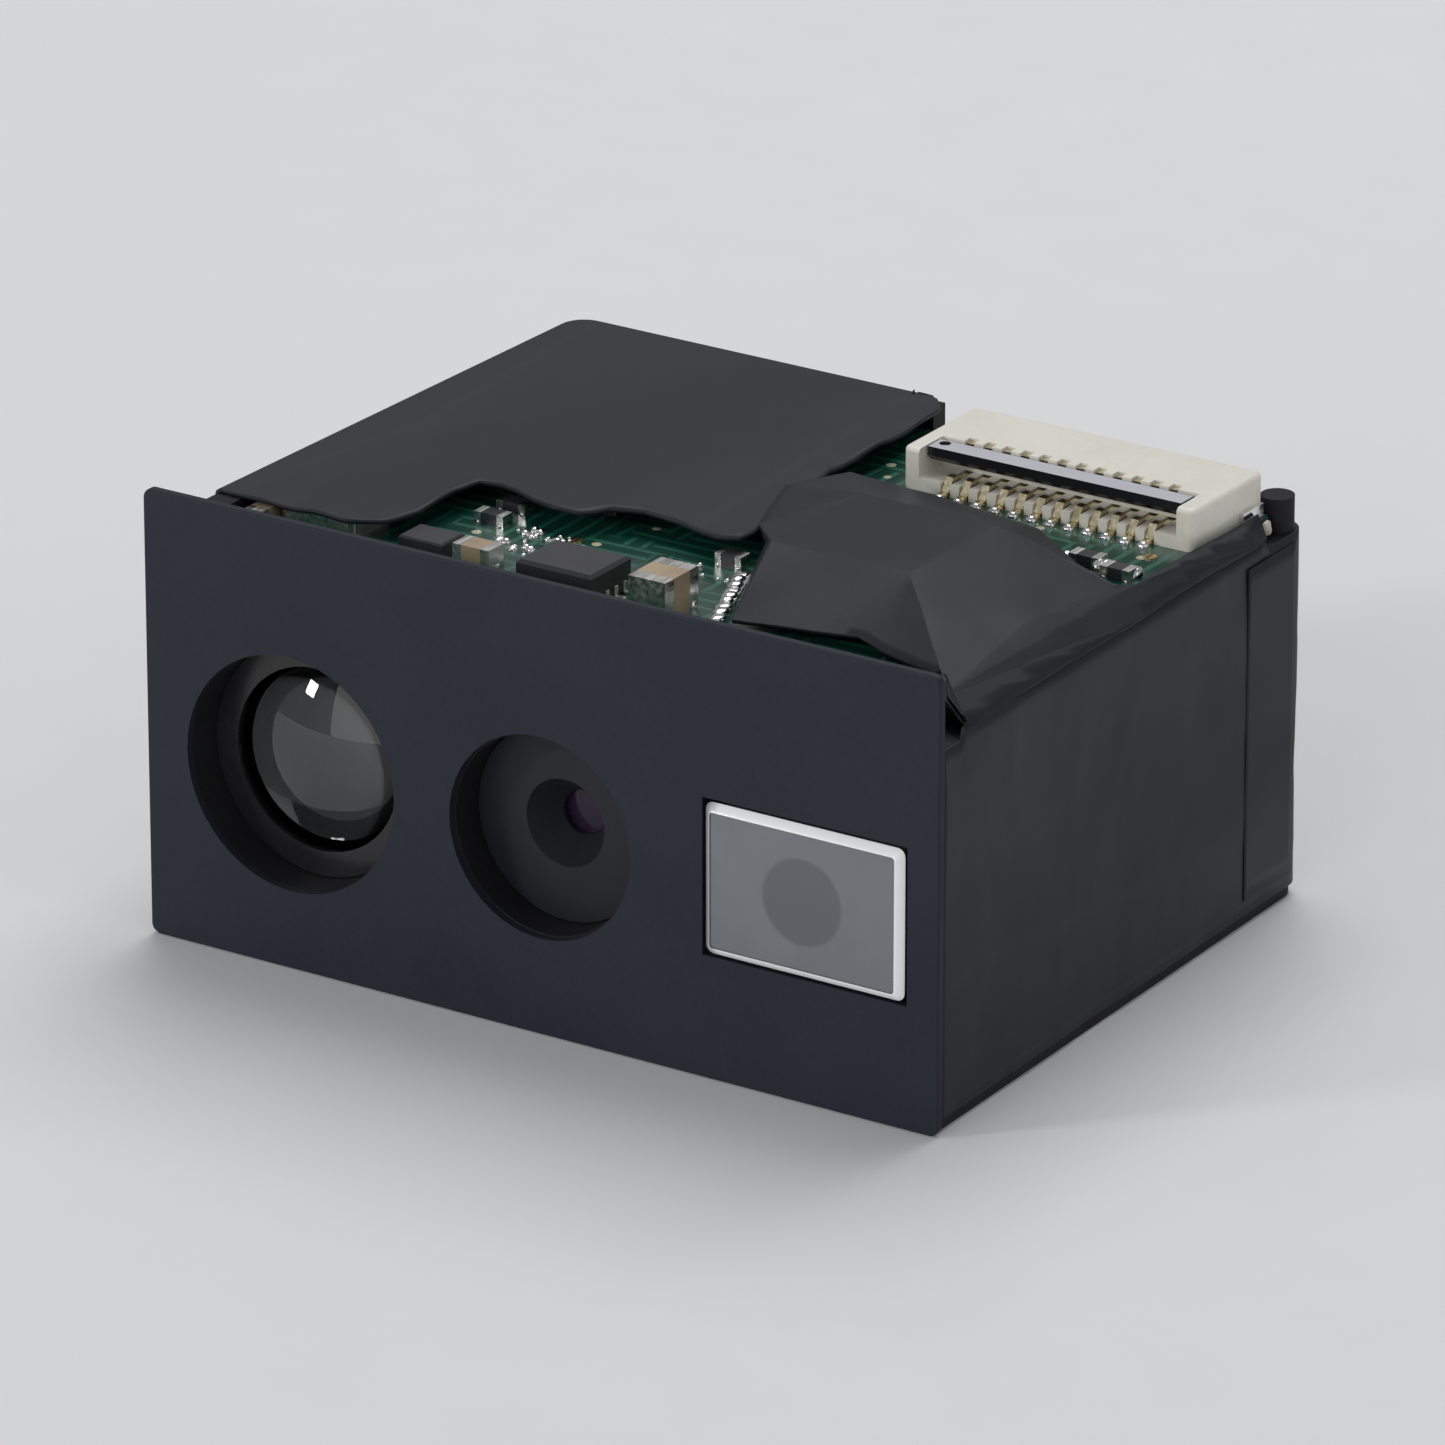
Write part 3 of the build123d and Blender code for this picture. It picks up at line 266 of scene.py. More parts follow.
FACE_SHEET = plain("Face sheet black", (0.015, 0.019, 0.028), (0.021, 0.025, 0.036), (0.5, 0.62), bump=0.35,
                   Specular_IOR_Level=0.22)
CHASSIS = plain("Chassis black", (0.012, 0.012, 0.014), (0.018, 0.018, 0.02), (0.5, 0.7), bump=0.4,
                Specular_IOR_Level=0.2)
BARREL = plain("Barrel black", (0.014, 0.015, 0.02), (0.02, 0.021, 0.027), (0.35, 0.5), bump=0.15,
               Specular_IOR_Level=0.25)
RING = plain("Ring black", (0.01, 0.01, 0.012), (0.018, 0.018, 0.02), (0.18, 0.3), bump=0.1)
LENS = plain("Lens clear", (0.96, 0.97, 0.98), (0.93, 0.95, 0.97), (0.0, 0.03), bump=0.0,
             Transmission_Weight=1.0, IOR=1.52)
# The front element is clear glass deep in the dark throat; it is opaque near-black here as painted shade,
# with a purple tint as the painted reflection of its coating.
FRONT_ELEMENT_PAINTED_DARK = plain("Front element painted dark", (0.012, 0.006, 0.02), (0.02, 0.01, 0.03), (0.04, 0.09), bump=0.0,
               Specular_IOR_Level=0.3)
FILTER = plain("Filter glass", (0.55, 0.2, 0.3), (0.5, 0.18, 0.34), (0.0, 0.04), bump=0.0,
               Transmission_Weight=1.0, IOR=1.5)
LED_BODY = plain("Lamp body white", (0.7, 0.7, 0.68), (0.62, 0.62, 0.6), (0.4, 0.5))
PHOSPHOR = plain("Lamp fill", (0.55, 0.5, 0.25), (0.5, 0.44, 0.2), (0.3, 0.45))
SENSOR = plain("Sensor dark", (0.03, 0.028, 0.04), (0.05, 0.045, 0.06), (0.2, 0.3))
GASKET = plain("Gasket rubber", (0.015, 0.015, 0.015), (0.025, 0.025, 0.025), (0.6, 0.8), bump=0.4)
PACKAGE = plain("Package black", (0.02, 0.02, 0.023), (0.032, 0.032, 0.036), (0.35, 0.55), bump=0.35)
FERRITE = plain("Coil ferrite", (0.05, 0.05, 0.055), (0.08, 0.08, 0.085), (0.5, 0.7), bump=0.5)
CERAMIC = plain("Ceramic tan", (0.36, 0.27, 0.17), (0.44, 0.34, 0.22), (0.3, 0.45), patches=1200.0)
RESISTOR = plain("Resistor glaze", (0.03, 0.03, 0.033), (0.05, 0.05, 0.055), (0.2, 0.35), patches=1500.0)
# The aiming lamp's body is painted near-black as painted shade, so that the clear lens in front of it looks
# dark.
AIM_BODY_PAINTED_DARK = plain("Aiming lamp body painted dark", (0.06, 0.06, 0.062), (0.09, 0.09, 0.092), (0.4, 0.5))
GLUE = plain("Cured glue", (0.6, 0.57, 0.5), (0.5, 0.46, 0.38), (0.2, 0.35), patches=1500.0)
IVORY = plain("Connector ivory", (0.84, 0.82, 0.74), (0.76, 0.73, 0.63), (0.3, 0.42), patches=500.0,
              bump=0.12)
# The lock is black; the light grey on its top faces is a painted reflection.
LOCK_PAINTED_TOP_REFLECTION = coloured("Lock black with painted top reflection", lock_colour, 0.16, 0.28)
# The lighter second colour of both films is painted sheen, also drawn along the creases.
TOP_FILM = finish("Top tape film", FILM, {
    "Colour": (0.016, 0.018, 0.024), "Rubbed Colour": (0.032, 0.036, 0.044), "Cloud": 160.0,
    "Low Roughness": 0.42, "High Roughness": 0.6}, bump=0.3, relief=0.03, Specular_IOR_Level=0.25)
SIDE_FILM = finish("Side tape film", FILM, {
    "Colour": (0.012, 0.014, 0.019), "Rubbed Colour": (0.027, 0.03, 0.037), "Cloud": 230.0,
    "Low Roughness": 0.38, "High Roughness": 0.58}, bump=0.35, relief=0.03, Specular_IOR_Level=0.25)
MASK = finish("Board mask green", BOARD, {
    "Colour": (0.006, 0.055, 0.036), "Copper Colour": (0.015, 0.12, 0.08), "Via Colour": (0.55, 0.5, 0.35)},
    bump=0.5, relief=0.02, Coat_Weight=0.4, Coat_Roughness=0.15)
GOLD = metal("Gold plating", (0.85, 0.66, 0.33), (0.6, 0.45, 0.22), (0.15, 0.35))
CONTACT = metal("Contact plating", (0.8, 0.7, 0.48), (0.6, 0.5, 0.3), (0.15, 0.3))
STEEL = metal("Screw steel", (0.5, 0.5, 0.52), (0.35, 0.35, 0.37), (0.25, 0.45))
CAN = metal("Can nickel", (0.62, 0.6, 0.56), (0.48, 0.46, 0.42), (0.2, 0.4))
TIN = metal("Tinned ends", (0.72, 0.71, 0.68), (0.52, 0.5, 0.46), (0.2, 0.45))
SOLDER = metal("Bright solder", (0.86, 0.86, 0.86), (0.66, 0.66, 0.64), (0.08, 0.3))

NODE_FINISH = {
    FACE_SHEET: ["front_plate"],
    CHASSIS: ["chassis"],
    FRONT_ELEMENT_PAINTED_DARK: ["front_lens_element"],
    LENS: ["condenser_lens", "rear_lens_element", "sensor_cover_glass",
           "aiming_led_dome"],
    FILTER: ["bandpass_filter"],
    BARREL: ["lens_barrel", "lens_spacer_ring"],
    RING: ["lens_retaining_ring"],
    LED_BODY: ["illumination_led"],
    AIM_BODY_PAINTED_DARK: ["aiming_led"],
    PHOSPHOR: ["led_phosphor"],
    SENSOR: ["image_sensor"],
    GASKET: ["sensor_gasket", "link_header"],
    MASK: ["main_board", "optics_board", "illumination_board"],
    GOLD: ["link_pins", "illumination_pins", "test_pads"],
    CONTACT: ["connector_contacts"],
    STEEL: ["optics_board_screws"],
    PACKAGE: ["processor_ic", "memory_ic", "driver_ic", "regulator_ic"],
    CAN: ["oscillator_can"],
    FERRITE: ["power_inductor"],
    CERAMIC: ["capacitor_bodies"],
    TIN: ["capacitor_end_caps", "resistor_end_caps"],
    RESISTOR: ["resistor_bodies"],
    SOLDER: ["contact_solder_joints", "solder_strip", "connector_anchor_tabs"],
    GLUE: ["adhesive_dabs"],
    IVORY: ["connector_housing"],
    LOCK_PAINTED_TOP_REFLECTION: ["connector_lock"],
    TOP_FILM: ["top_tape"],
    SIDE_FILM: ["side_tape"],
}
for material, nodes in NODE_FINISH.items():
    for name in nodes:
        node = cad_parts[name]
        if not node.material_slots:
            node.data.materials.append(material)
        for holder in node.material_slots:
            holder.material = material


# ---- Making pieces -------------------------------------------------------------------------------
def piece(name, mesh_data, material, smooth=True):
    made = bpy.data.objects.new(name, mesh_data)
    bpy.context.scene.collection.objects.link(made)
    mesh_data.materials.append(material)
    for polygon in mesh_data.polygons:
        polygon.use_smooth = smooth
    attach(made, BODY)
    return made


def mesh_of(name, points, faces):
    data = bpy.data.meshes.new(name)
    data.from_pydata(points, [], faces)
    return data


def data_from(name, mesh):
    """Mesh data from a bmesh, which is freed."""
    data = bpy.data.meshes.new(name)
    mesh.to_mesh(data)
    mesh.free()
    return data


def add_box(mesh, low, high):
    """A box between two corners, each x, depth and height in millimetres."""
    middle = at(*((a + b) / 2 for a, b in zip(low, high)))
    size = Matrix.Diagonal((*((b - a) * MM for a, b in zip(low, high)), 1.0))
    bmesh.ops.create_cube(mesh, size=1.0, matrix=Matrix.Translation(middle) @ size)


def grid_faces(columns, rows):
    """Quads of a grid stored column by column."""
    return [(c * rows + r, (c + 1) * rows + r, (c + 1) * rows + r + 1, c * rows + r + 1)
            for c in range(columns - 1) for r in range(rows - 1)]


def thicken(made, thickness):
    """Gives a skin its thickness inwards."""
    shell = made.modifiers.new("thickness", "SOLIDIFY")
    shell.thickness = thickness * MM
    shell.offset = -1
    return made


def wobble(point, size, amount, seed=0.0):
    """A smooth small offset at a place, in millimetres."""
    place = Vector((point.x, point.y, point.z)) / (size * MM)
    return amount * noise.noise(place + Vector((seed, seed, seed)))


def tidy_mesh(data, distance=0.004):
    """Merges points that fall together and turns every face outwards."""
    mesh = bmesh.new()
    mesh.from_mesh(data)
    bmesh.ops.remove_doubles(mesh, verts=mesh.verts, dist=distance * MM)
    bmesh.ops.recalc_face_normals(mesh, faces=mesh.faces)
    mesh.to_mesh(data)
    mesh.free()


def along(points, count):
    """Evenly spaced places on a chain of (x, depth) points."""
    lengths = [math.dist(a, b) for a, b in zip(points, points[1:])]
    total = sum(lengths)
    places = []
    for i in range(count):
        left = total * i / (count - 1)
        k = 0
        while k < len(lengths) - 1 and left > lengths[k]:
            left -= lengths[k]
            k += 1
        share = min(left / lengths[k], 1.0)
        a, b = points[k], points[k + 1]
        places.append((a[0] + (b[0] - a[0]) * share, a[1] + (b[1] - a[1]) * share))
    return places


def wall_half(depth):
    """Half width over the tape at a depth."""
    return HALF_NEAR - (HALF_NEAR - HALF_FAR) * (depth - WALL_START) / (WALL_END - WALL_START)


def wall_line(side, first, back_end):
    """The tape's outer line from a depth on one side, round the rear corner to an x on the back."""
    turn = WALL_END - CORNER_R
    centre = wall_half(turn) - CORNER_R
    line = [(side * wall_half(first), first), (side * wall_half(turn), turn)]
    steps = 8
    for i in range(1, steps + 1):
        angle = math.pi / 2 * i / steps
        line.append((side * (centre + CORNER_R * math.cos(angle)), turn + CORNER_R * math.sin(angle)))
    line.append((back_end, WALL_END))
    return line


def inward(places):
    """Unit normals towards the inside along a chain of places on the wall line."""
    normals = []
    for i, place in enumerate(places):
        a = places[max(i - 1, 0)]
        b = places[min(i + 1, len(places) - 1)]
        run = Vector((b[0] - a[0], b[1] - a[1])).normalized()
        across = Vector((-run.y, run.x))
        if across.dot(Vector((place[0], place[1] - WALL_END / 2))) > 0:
            across = -across
        normals.append(across)
    return normals


# ---- Flat tape over the top, the left wall and the back ----------------------------------------------
# free edge of the tape, from its front left corner along the torn front to the back: x, depth
TORN_EDGE = [(-10.6, 2.6), (-9.6, 2.55), (-8.2, 2.6), (-6.9, 2.55), (-6.1, 3.0), (-5.85, 4.0), (-5.85, 4.8),
             (-5.9, 5.5), (-5.7, 6.2), (-5.2, 6.35), (-4.6, 6.2), (-3.4, 5.8), (-2.7, 5.9), (-2.3, 6.45),
             (-1.5, 6.75), (-0.5, 6.7), (0.8, 6.3), (1.35, 6.45), (1.3, 7.2), (1.1, 8.45), (0.95, 9.4),
             (0.62, 11.3), (0.65, 12.5), (0.7, 13.8), (0.62, 15.2), (0.5, 16.3), (0.1, 16.75), (-0.4, 16.9)]
FLAT_COLUMNS = 240
FLAT_ROWS = 36
END_COLUMNS = 14          # columns over which the film calms down to its two ends
ROLL_STEPS = 4
WALL_ROWS = 12
HEM = 0.5                 # lower edge of the film over the underside
FILM_WAVE = (3.5, 0.05)   # slow waves of the film, then its ripples: size and height
FILM_RIPPLE = (0.9, 0.02)
EDGE_CURL = (1.1, 0.12)   # curl of the torn edge, which fades over EDGE_FADE
EDGE_FADE = 0.5
LEAST_LIFT = -0.03        # how far the film may sink between its supports


def flat_tape():
    """The film from its torn edge to the wall's top, round the roll and down the wall, column by column."""
    free = along(TORN_EDGE, FLAT_COLUMNS)
    wall = along(wall_line(-1, TORN_EDGE[0][1], TORN_EDGE[-1][0]), FLAT_COLUMNS)
    normals = inward(wall)
    roll = [math.pi / 2 * k / ROLL_STEPS for k in range(ROLL_STEPS + 1)]
    wall_height = FLAT_TOP - EDGE_ROLL - HEM
    heights = [HEM + wall_height * k / WALL_ROWS for k in range(WALL_ROWS, -1, -1)]
    points = []
    for i, ((fx, fd), (wx, wd), normal) in enumerate(zip(free, wall, normals)):
        fd = min(fd, WALL_END - EDGE_ROLL)
        fx = max(fx, EDGE_ROLL - wall_half(fd))
        calm = min(i, FLAT_COLUMNS - 1 - i, END_COLUMNS) / END_COLUMNS
        top_x, top_d = wx + normal.x * EDGE_ROLL, wd + normal.y * EDGE_ROLL
        for r in range(FLAT_ROWS):
            share = r / FLAT_ROWS
            x = fx + (top_x - fx) * share
            depth = fd + (top_d - fd) * share
            point = at(x, depth, FLAT_TOP)
            lift = wobble(point, *FILM_WAVE) + wobble(point, *FILM_RIPPLE, 7.0)
            near_edge = math.exp(-math.dist((x, depth), (fx, fd)) / EDGE_FADE)
            lift += near_edge * wobble(point, *EDGE_CURL, 3.0)
            fade = (1 - share ** 6) * calm
            points.append(point + Vector((0, 0, max(lift * fade, LEAST_LIFT) * MM)))
        for angle in roll:
            out = EDGE_ROLL * (1 - math.sin(angle))
            drop = EDGE_ROLL * (1 - math.cos(angle))
            points.append(at(wx + normal.x * out, wd + normal.y * out, FLAT_TOP - drop))
        for z in heights[1:]:
            point = at(wx, wd, z)
            push = max(0.0, wobble(point, 2.5, 0.05, 11.0))
            points.append(at(wx + normal.x * push * 0.5, wd + normal.y * push * 0.5, z))
    rows = FLAT_ROWS + len(roll) + len(heights) - 1
    data = mesh_of("top_tape_film", points, grid_faces(FLAT_COLUMNS, rows))
    tidy_mesh(data)
    made = piece("top_tape_film", data, TOP_FILM)
    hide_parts("top_tape")
    return thicken(made, TAPE_T)


# ---- Tented tape over the coil, and its wall ---------------------------------------------------------
FOLD_Z = 9.36
TENT = {
    "coil_front_right": (6.5, 5.5, 10.8), "coil_rear_right": (6.5, 9.1, 10.8),
    "coil_front_left": (2.75, 5.5, 10.75), "coil_rear_left": (2.85, 9.15, 10.78),
    "front_left": (3.45, 2.75, 9.9), "front_middle": (6.5, 3.3, 10.0), "front_gap": (7.3, 3.0, 9.92),
    "front_right": (9.1, 2.65, 10.0), "right_middle": (9.3, 5.9, 10.08), "right_rear": (9.45, 9.4, 9.85),
    "rear_gap": (8.2, 9.9, 9.95), "rear_middle": (6.4, 11.1, 10.05), "rear_inner": (3.6, 11.25, 10.2),
    "rear_left": (1.3, 11.1, 10.36), "left_middle": (0.5, 9.6, 10.36), "left_front": (1.35, 7.2, 10.36),
    "left_corner": (2.3, 5.95, 10.42),
    "edge_front": (9.79, 1.6, 9.82), "edge_middle": (9.8, 9.5, 9.82), "edge_rear": (9.79, 15.2, 9.8),
    "fold_front": (10.58, 1.3, FOLD_Z), "fold_middle": (10.4, 9.2, FOLD_Z),
    "fold_rear": (10.24, 14.9, FOLD_Z),
}
PANELS = [
    ("coil_front_left", "coil_front_right", "coil_rear_right", "coil_rear_left"),
    ("front_left", "front_middle", "coil_front_right", "coil_front_left"),
    ("front_middle", "front_gap", "coil_front_right"), ("front_gap", "front_right", "coil_front_right"),
    ("front_right", "right_middle", "coil_front_right"),
    ("right_middle", "coil_rear_right", "coil_front_right"),
    ("right_middle", "right_rear", "coil_rear_right"), ("right_rear", "rear_gap", "coil_rear_right"),
    ("rear_gap", "rear_middle", "coil_rear_right"),
    ("rear_middle", "rear_inner", "coil_rear_left", "coil_rear_right"),
    ("rear_inner", "rear_left", "coil_rear_left"), ("rear_left", "left_middle", "coil_rear_left"),
    ("left_middle", "left_front", "coil_rear_left"), ("left_front", "coil_front_left", "coil_rear_left"),
    ("left_front", "left_corner", "coil_front_left"), ("left_corner", "front_left", "coil_front_left"),
    ("front_right", "fold_front", "edge_front"), ("front_right", "edge_front", "right_middle"),
    ("edge_front", "edge_middle", "right_middle"), ("right_middle", "edge_middle", "right_rear"),
    ("edge_front", "fold_front", "fold_middle", "edge_middle"),
    ("edge_middle", "fold_middle", "fold_rear", "edge_rear"),
]
FOLD_SOFTNESS = 0.035
LEAST_FOLD = math.radians(5)      # a sharper bend between two panels gets a rounded fold
FOLD_ANGLE = math.radians(6)      # a sharper bend in the finished film shades as a crease
WALL_FRONT = 0.35
WALL_HEM = 0.3
LIP_TOP = 9.1
WALL_BACK_X = 7.1
WALL_COLUMNS = 120


def tent_tape():
    names = list(TENT)
    mesh = bmesh.new()
    corners = {name: mesh.verts.new(at(*TENT[name])) for name in names}
    for panel in PANELS:
        mesh.faces.new([corners[name] for name in panel])
    bmesh.ops.triangulate(mesh, faces=[f for f in mesh.faces if len(f.verts) > 3])
    folds = [e for e in mesh.edges if len(e.link_faces) == 2 and e.calc_face_angle(0.0) > LEAST_FOLD]
    bmesh.ops.bevel(mesh, geom=folds, offset=FOLD_SOFTNESS * MM, segments=2, affect="EDGES", profile=0.5)
    bmesh.ops.triangulate(mesh, faces=mesh.faces)
    for size in (1.6, 0.8, 0.5):
        long_edges = [e for e in mesh.edges if e.calc_length() > size * MM]
        bmesh.ops.subdivide_edges(mesh, edges=long_edges, cuts=1)
        bmesh.ops.triangulate(mesh, faces=mesh.faces)
    bmesh.ops.recalc_face_normals(mesh, faces=mesh.faces)
    if sum(f.normal.z for f in mesh.faces) < 0:
        bmesh.ops.reverse_faces(mesh, faces=mesh.faces)
    for vert in mesh.verts:
        vert.co.z += max(wobble(vert.co, 1.8, 0.04, 5.0) + wobble(vert.co, 0.6, 0.008, 9.0), -0.02) * MM
    data = data_from("side_tape_tent", mesh)
    made = piece("side_tape_tent", data, SIDE_FILM)
    data.set_sharp_from_angle(angle=FOLD_ANGLE)
    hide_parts("side_tape")
    return thicken(made, TAPE_T)


def wall_tape():
    """The tape down the right wall and a little way round the back, pressed in here and there."""
    wall = along(wall_line(1, WALL_FRONT, WALL_BACK_X), WALL_COLUMNS)
    normals = inward(wall)
    first, last = TENT["fold_front"][1], TENT["fold_rear"][1]
    points = []
    steps = 26
    for (x, depth), normal in zip(wall, normals):
        top = FOLD_Z if first <= depth <= last and x > HALF_FAR - CORNER_R else LIP_TOP
        for r in range(steps):
            z = WALL_HEM + (top - WALL_HEM) * r / (steps - 1)
            point = at(x, depth, z)
            dent = max(0.0, wobble(point, 2.2, 0.06, 2.0)) + max(0.0, wobble(point, 0.7, 0.02, 4.0))
            if r == steps - 1 and top == FOLD_Z:
                dent += 0.03
            points.append(at(x + normal.x * dent, depth + normal.y * dent, z))
    data = mesh_of("side_tape_wall", points, grid_faces(WALL_COLUMNS, steps))
    tidy_mesh(data)
    made = piece("side_tape_wall", data, SIDE_FILM)
    return thicken(made, TAPE_T)


LAP_START, LAP_END = 14.0, WALL_END - CORNER_R      # depths
LAP_LOW, LAP_HIGH = 0.7, 8.9                        # heights
LAP_PROUD = 0.02
LAP_T = 0.03
LAP_STEPS = 20


def lap_strip():
    """A second layer of tape that laps the rear of the right wall."""
    points = []
    for c in range(LAP_STEPS):
        depth = LAP_START + (LAP_END - LAP_START) * c / (LAP_STEPS - 1)
        for r in range(LAP_STEPS):
            z = LAP_LOW + (LAP_HIGH - LAP_LOW) * r / (LAP_STEPS - 1)
            point = at(wall_half(depth) + LAP_PROUD, depth, z)
            points.append(point + Vector((wobble(point, 1.5, 0.015, 6.0) * MM, 0, 0)))
    data = mesh_of("side_tape_lap", points, grid_faces(LAP_STEPS, LAP_STEPS))
    tidy_mesh(data)
    return thicken(piece("side_tape_lap", data, SIDE_FILM), LAP_T)


flat_tape()
tent_tape()
wall_tape()
lap_strip()


# ---- Small board details -----------------------------------------------------------------------------
BOARD_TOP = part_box("main_board")[1][2] / MM
FRONT_LEADS = 6           # gull-wing leads of the driver package
SIDE_LEADS = 4
SIDE_LEAD_PITCH = 0.36
LEAD_END_GAP = 0.2        # package corner to the first lead
LEAD_HALF = 0.07          # half a lead's width
LEAD_ROOT = 0.02          # how far a lead reaches into the package
LEAD_RISE = 0.3           # height at which a lead leaves the package
LEAD_T = 0.06


def lumps(name, spots, material, slot):
    """Beads of solder or glue: x, depth and z of each middle, then its radii along x, depth and z."""
    mesh = bmesh.new()
    for x, depth, z, rx, rd, rz in spots:
        size = Matrix.Diagonal((rx * MM, rd * MM, rz * MM, 1.0))
        bmesh.ops.create_icosphere(mesh, subdivisions=2, radius=1.0,
                                   matrix=Matrix.Translation(at(x, depth, z)) @ size)
    for vert in mesh.verts:
        vert.co += vert.co.normalized() * wobble(vert.co, 0.15, 0.02, 1.0) * MM
    data = data_from(name, mesh)
    return piece(name, data, material)


def solids_of(node):
    """Lowest and highest corner, in millimetres, of each separate solid in a node's mesh."""
    mesh = bmesh.new()
    mesh.from_mesh(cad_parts[node].data)
    bmesh.ops.remove_doubles(mesh, verts=mesh.verts, dist=0.001 * MM)
    corners = []
    seen = set()
    for start in mesh.verts:
        if start in seen:
            continue
        group, queue = [], [start]
        seen.add(start)
        while queue:
            vert = queue.pop()
            group.append(vert.co.copy())
            for edge in vert.link_edges:
                other = edge.other_vert(vert)
                if other not in seen:
                    seen.add(other)
                    queue.append(other)
        corners.append(([min(p[i] for p in group) / MM for i in range(3)],
                        [max(p[i] for p in group) / MM for i in range(3)]))
    mesh.free()
    return corners


FILLET_SPREAD = 0.62      # radius of the solder at a chip's end, as a share of the end cap
FILLET_CLIMB = 0.42       # how far it climbs the cap


def chip_fillets():
    """Solder that creeps up the ends of each chip part."""
    spots = []
    for node in ("capacitor_end_caps", "resistor_end_caps"):
        for low, high in solids_of(node):
            depth = (low[1] + high[1]) / 2 - FACE_Y / MM
            spots.append(((low[0] + high[0]) / 2, depth, BOARD_TOP, (high[0] - low[0]) * FILLET_SPREAD,
                          (high[1] - low[1]) * FILLET_SPREAD, (high[2] - low[2]) * FILLET_CLIMB))
    return lumps("chip_solder", spots, SOLDER, "solder")


CLUSTER_JOINTS = 34       # small joints beside the driver package
COIL_JOINTS = 14          # small joints beside the coil
HEAVY_JOINTS_X = (7.45, 8.3, 8.5, 9.3)
HEAVY_JOINTS_DEPTH = 10.65
HEAVY_JOINT_SIZE = (0.16, 0.26, 0.28)
STRIP_BEADS = 9
STRIP_FRONT, STRIP_REAR = (2.9, 3.1), (1.9, 5.6)    # x and depth of the row's two ends
STRIP_RISE = 0.12


def board_solder():
    """Small joints beside the driver package and the coil, a row of beads and four heavy joints."""
    rng = random.Random(5)
    spots = []
    for _ in range(CLUSTER_JOINTS):
        r = rng.uniform(0.05, 0.13)
        spots.append((rng.uniform(-4.1, -2.3), rng.uniform(3.7, 5.7), BOARD_TOP, r, r * rng.uniform(0.8, 2.0),
                      r * rng.uniform(0.6, 1.3)))
    for x in HEAVY_JOINTS_X:
        spots.append((x, HEAVY_JOINTS_DEPTH, BOARD_TOP, *HEAVY_JOINT_SIZE))
    for i in range(STRIP_BEADS):
        share = i / (STRIP_BEADS - 1)
        x, depth = (a + (b - a) * share for a, b in zip(STRIP_FRONT, STRIP_REAR))
        spots.append((x, depth, BOARD_TOP + STRIP_RISE, rng.uniform(0.14, 0.2),
                      rng.uniform(0.2, 0.3), rng.uniform(0.06, 0.14)))
    for _ in range(COIL_JOINTS):
        r = rng.uniform(0.05, 0.1)
        spots.append((rng.uniform(0.2, 2.0), rng.uniform(4.2, 6.0), BOARD_TOP, r, r, r))
    return lumps("board_solder", spots, SOLDER, "solder")


BEADS_PER_DAB = 8


def glue_dabs():
    """Each dab of glue as a heap of soft beads."""
    rng = random.Random(8)
    spots = []
    for low, high in sorted(solids_of("adhesive_dabs")):
        size = [b - a for a, b in zip(low, high)]
        for _ in range(BEADS_PER_DAB):
            x, y, z = (low[i] + size[i] * rng.uniform(0.3, 0.7) for i in range(3))
            spots.append((x, y - FACE_Y / MM, z, *(size[i] * rng.uniform(0.2, 0.3) for i in range(3))))
    made = lumps("glue_beads", spots, GLUE, "glue")
    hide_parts("adhesive_dabs")
    return made


def package_leads():
    """Gull-wing leads along the front and right side of the driver package."""
    low, high = (Vector(corner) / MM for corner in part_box("driver_ic"))
    front = low.y - FACE_Y / MM
    mesh = bmesh.new()

    def lead(x0, x1, d0, d1, height):
        add_box(mesh, (x0, d0, BOARD_TOP), (x1, d1, BOARD_TOP + height))

    for i in range(FRONT_LEADS):
        x = low.x + LEAD_END_GAP + (high.x - low.x - 2 * LEAD_END_GAP) * i / (FRONT_LEADS - 1)
        lead(x - LEAD_HALF, x + LEAD_HALF, front - 0.04, front + LEAD_ROOT, LEAD_RISE)
        lead(x - LEAD_HALF, x + LEAD_HALF, front - 0.26, front + LEAD_ROOT, LEAD_T)
    for i in range(SIDE_LEADS):
        depth = front + 0.25 + SIDE_LEAD_PITCH * i
        lead(high.x - LEAD_ROOT, high.x + 0.04, depth - LEAD_HALF, depth + LEAD_HALF, LEAD_RISE)
        lead(high.x - LEAD_ROOT, high.x + 0.26, depth - LEAD_HALF, depth + LEAD_HALF, LEAD_T)
    data = data_from("driver_leads", mesh)
    made = piece("driver_leads", data, TIN, smooth=False)
    soft = made.modifiers.new("edges", "BEVEL")
    soft.width = 0.012 * MM
    return made


chip_fillets()
board_solder()
glue_dabs()
package_leads()


# ---- Window ------------------------------------------------------------------------------------------
WINDOW_LOW, WINDOW_HIGH = (Vector(corner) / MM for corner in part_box("window_block"))
WINDOW_MIDDLE = (WINDOW_LOW + WINDOW_HIGH) / 2
WINDOW_HALF = (WINDOW_HIGH - WINDOW_LOW) / 2
WINDOW_BEVEL = 0.16       # width and depth of the ground bevel
WINDOW_SKIN = 0.03        # clear front over the frost
DISC_R = 1.04             # lamp that shows through the frost
DISC_BLUR = 0.05


def frost_colour(tree, where, cloud):
    """Grey frost with the lamp showing through as a soft darker disc."""
    flat = put(tree, "ShaderNodeVectorMath", {0: where, 1: (1.0, 0.0, 1.0)}, operation="MULTIPLY").outputs[0]
    centre = (WINDOW_MIDDLE.x * MM, 0.0, WINDOW_MIDDLE.z * MM)
    away = put(tree, "ShaderNodeVectorMath", {0: flat, 1: centre}, operation="DISTANCE").outputs["Value"]
    disc = spread(tree, away, (DISC_R - DISC_BLUR) * MM, (DISC_R + DISC_BLUR) * MM, 1.0, 0.0)
    ground = blend(tree, cloud, (0.12, 0.135, 0.152, 1.0), (0.165, 0.182, 0.2, 1.0))
    return blend(tree, disc, ground, (0.085, 0.094, 0.106, 1.0))


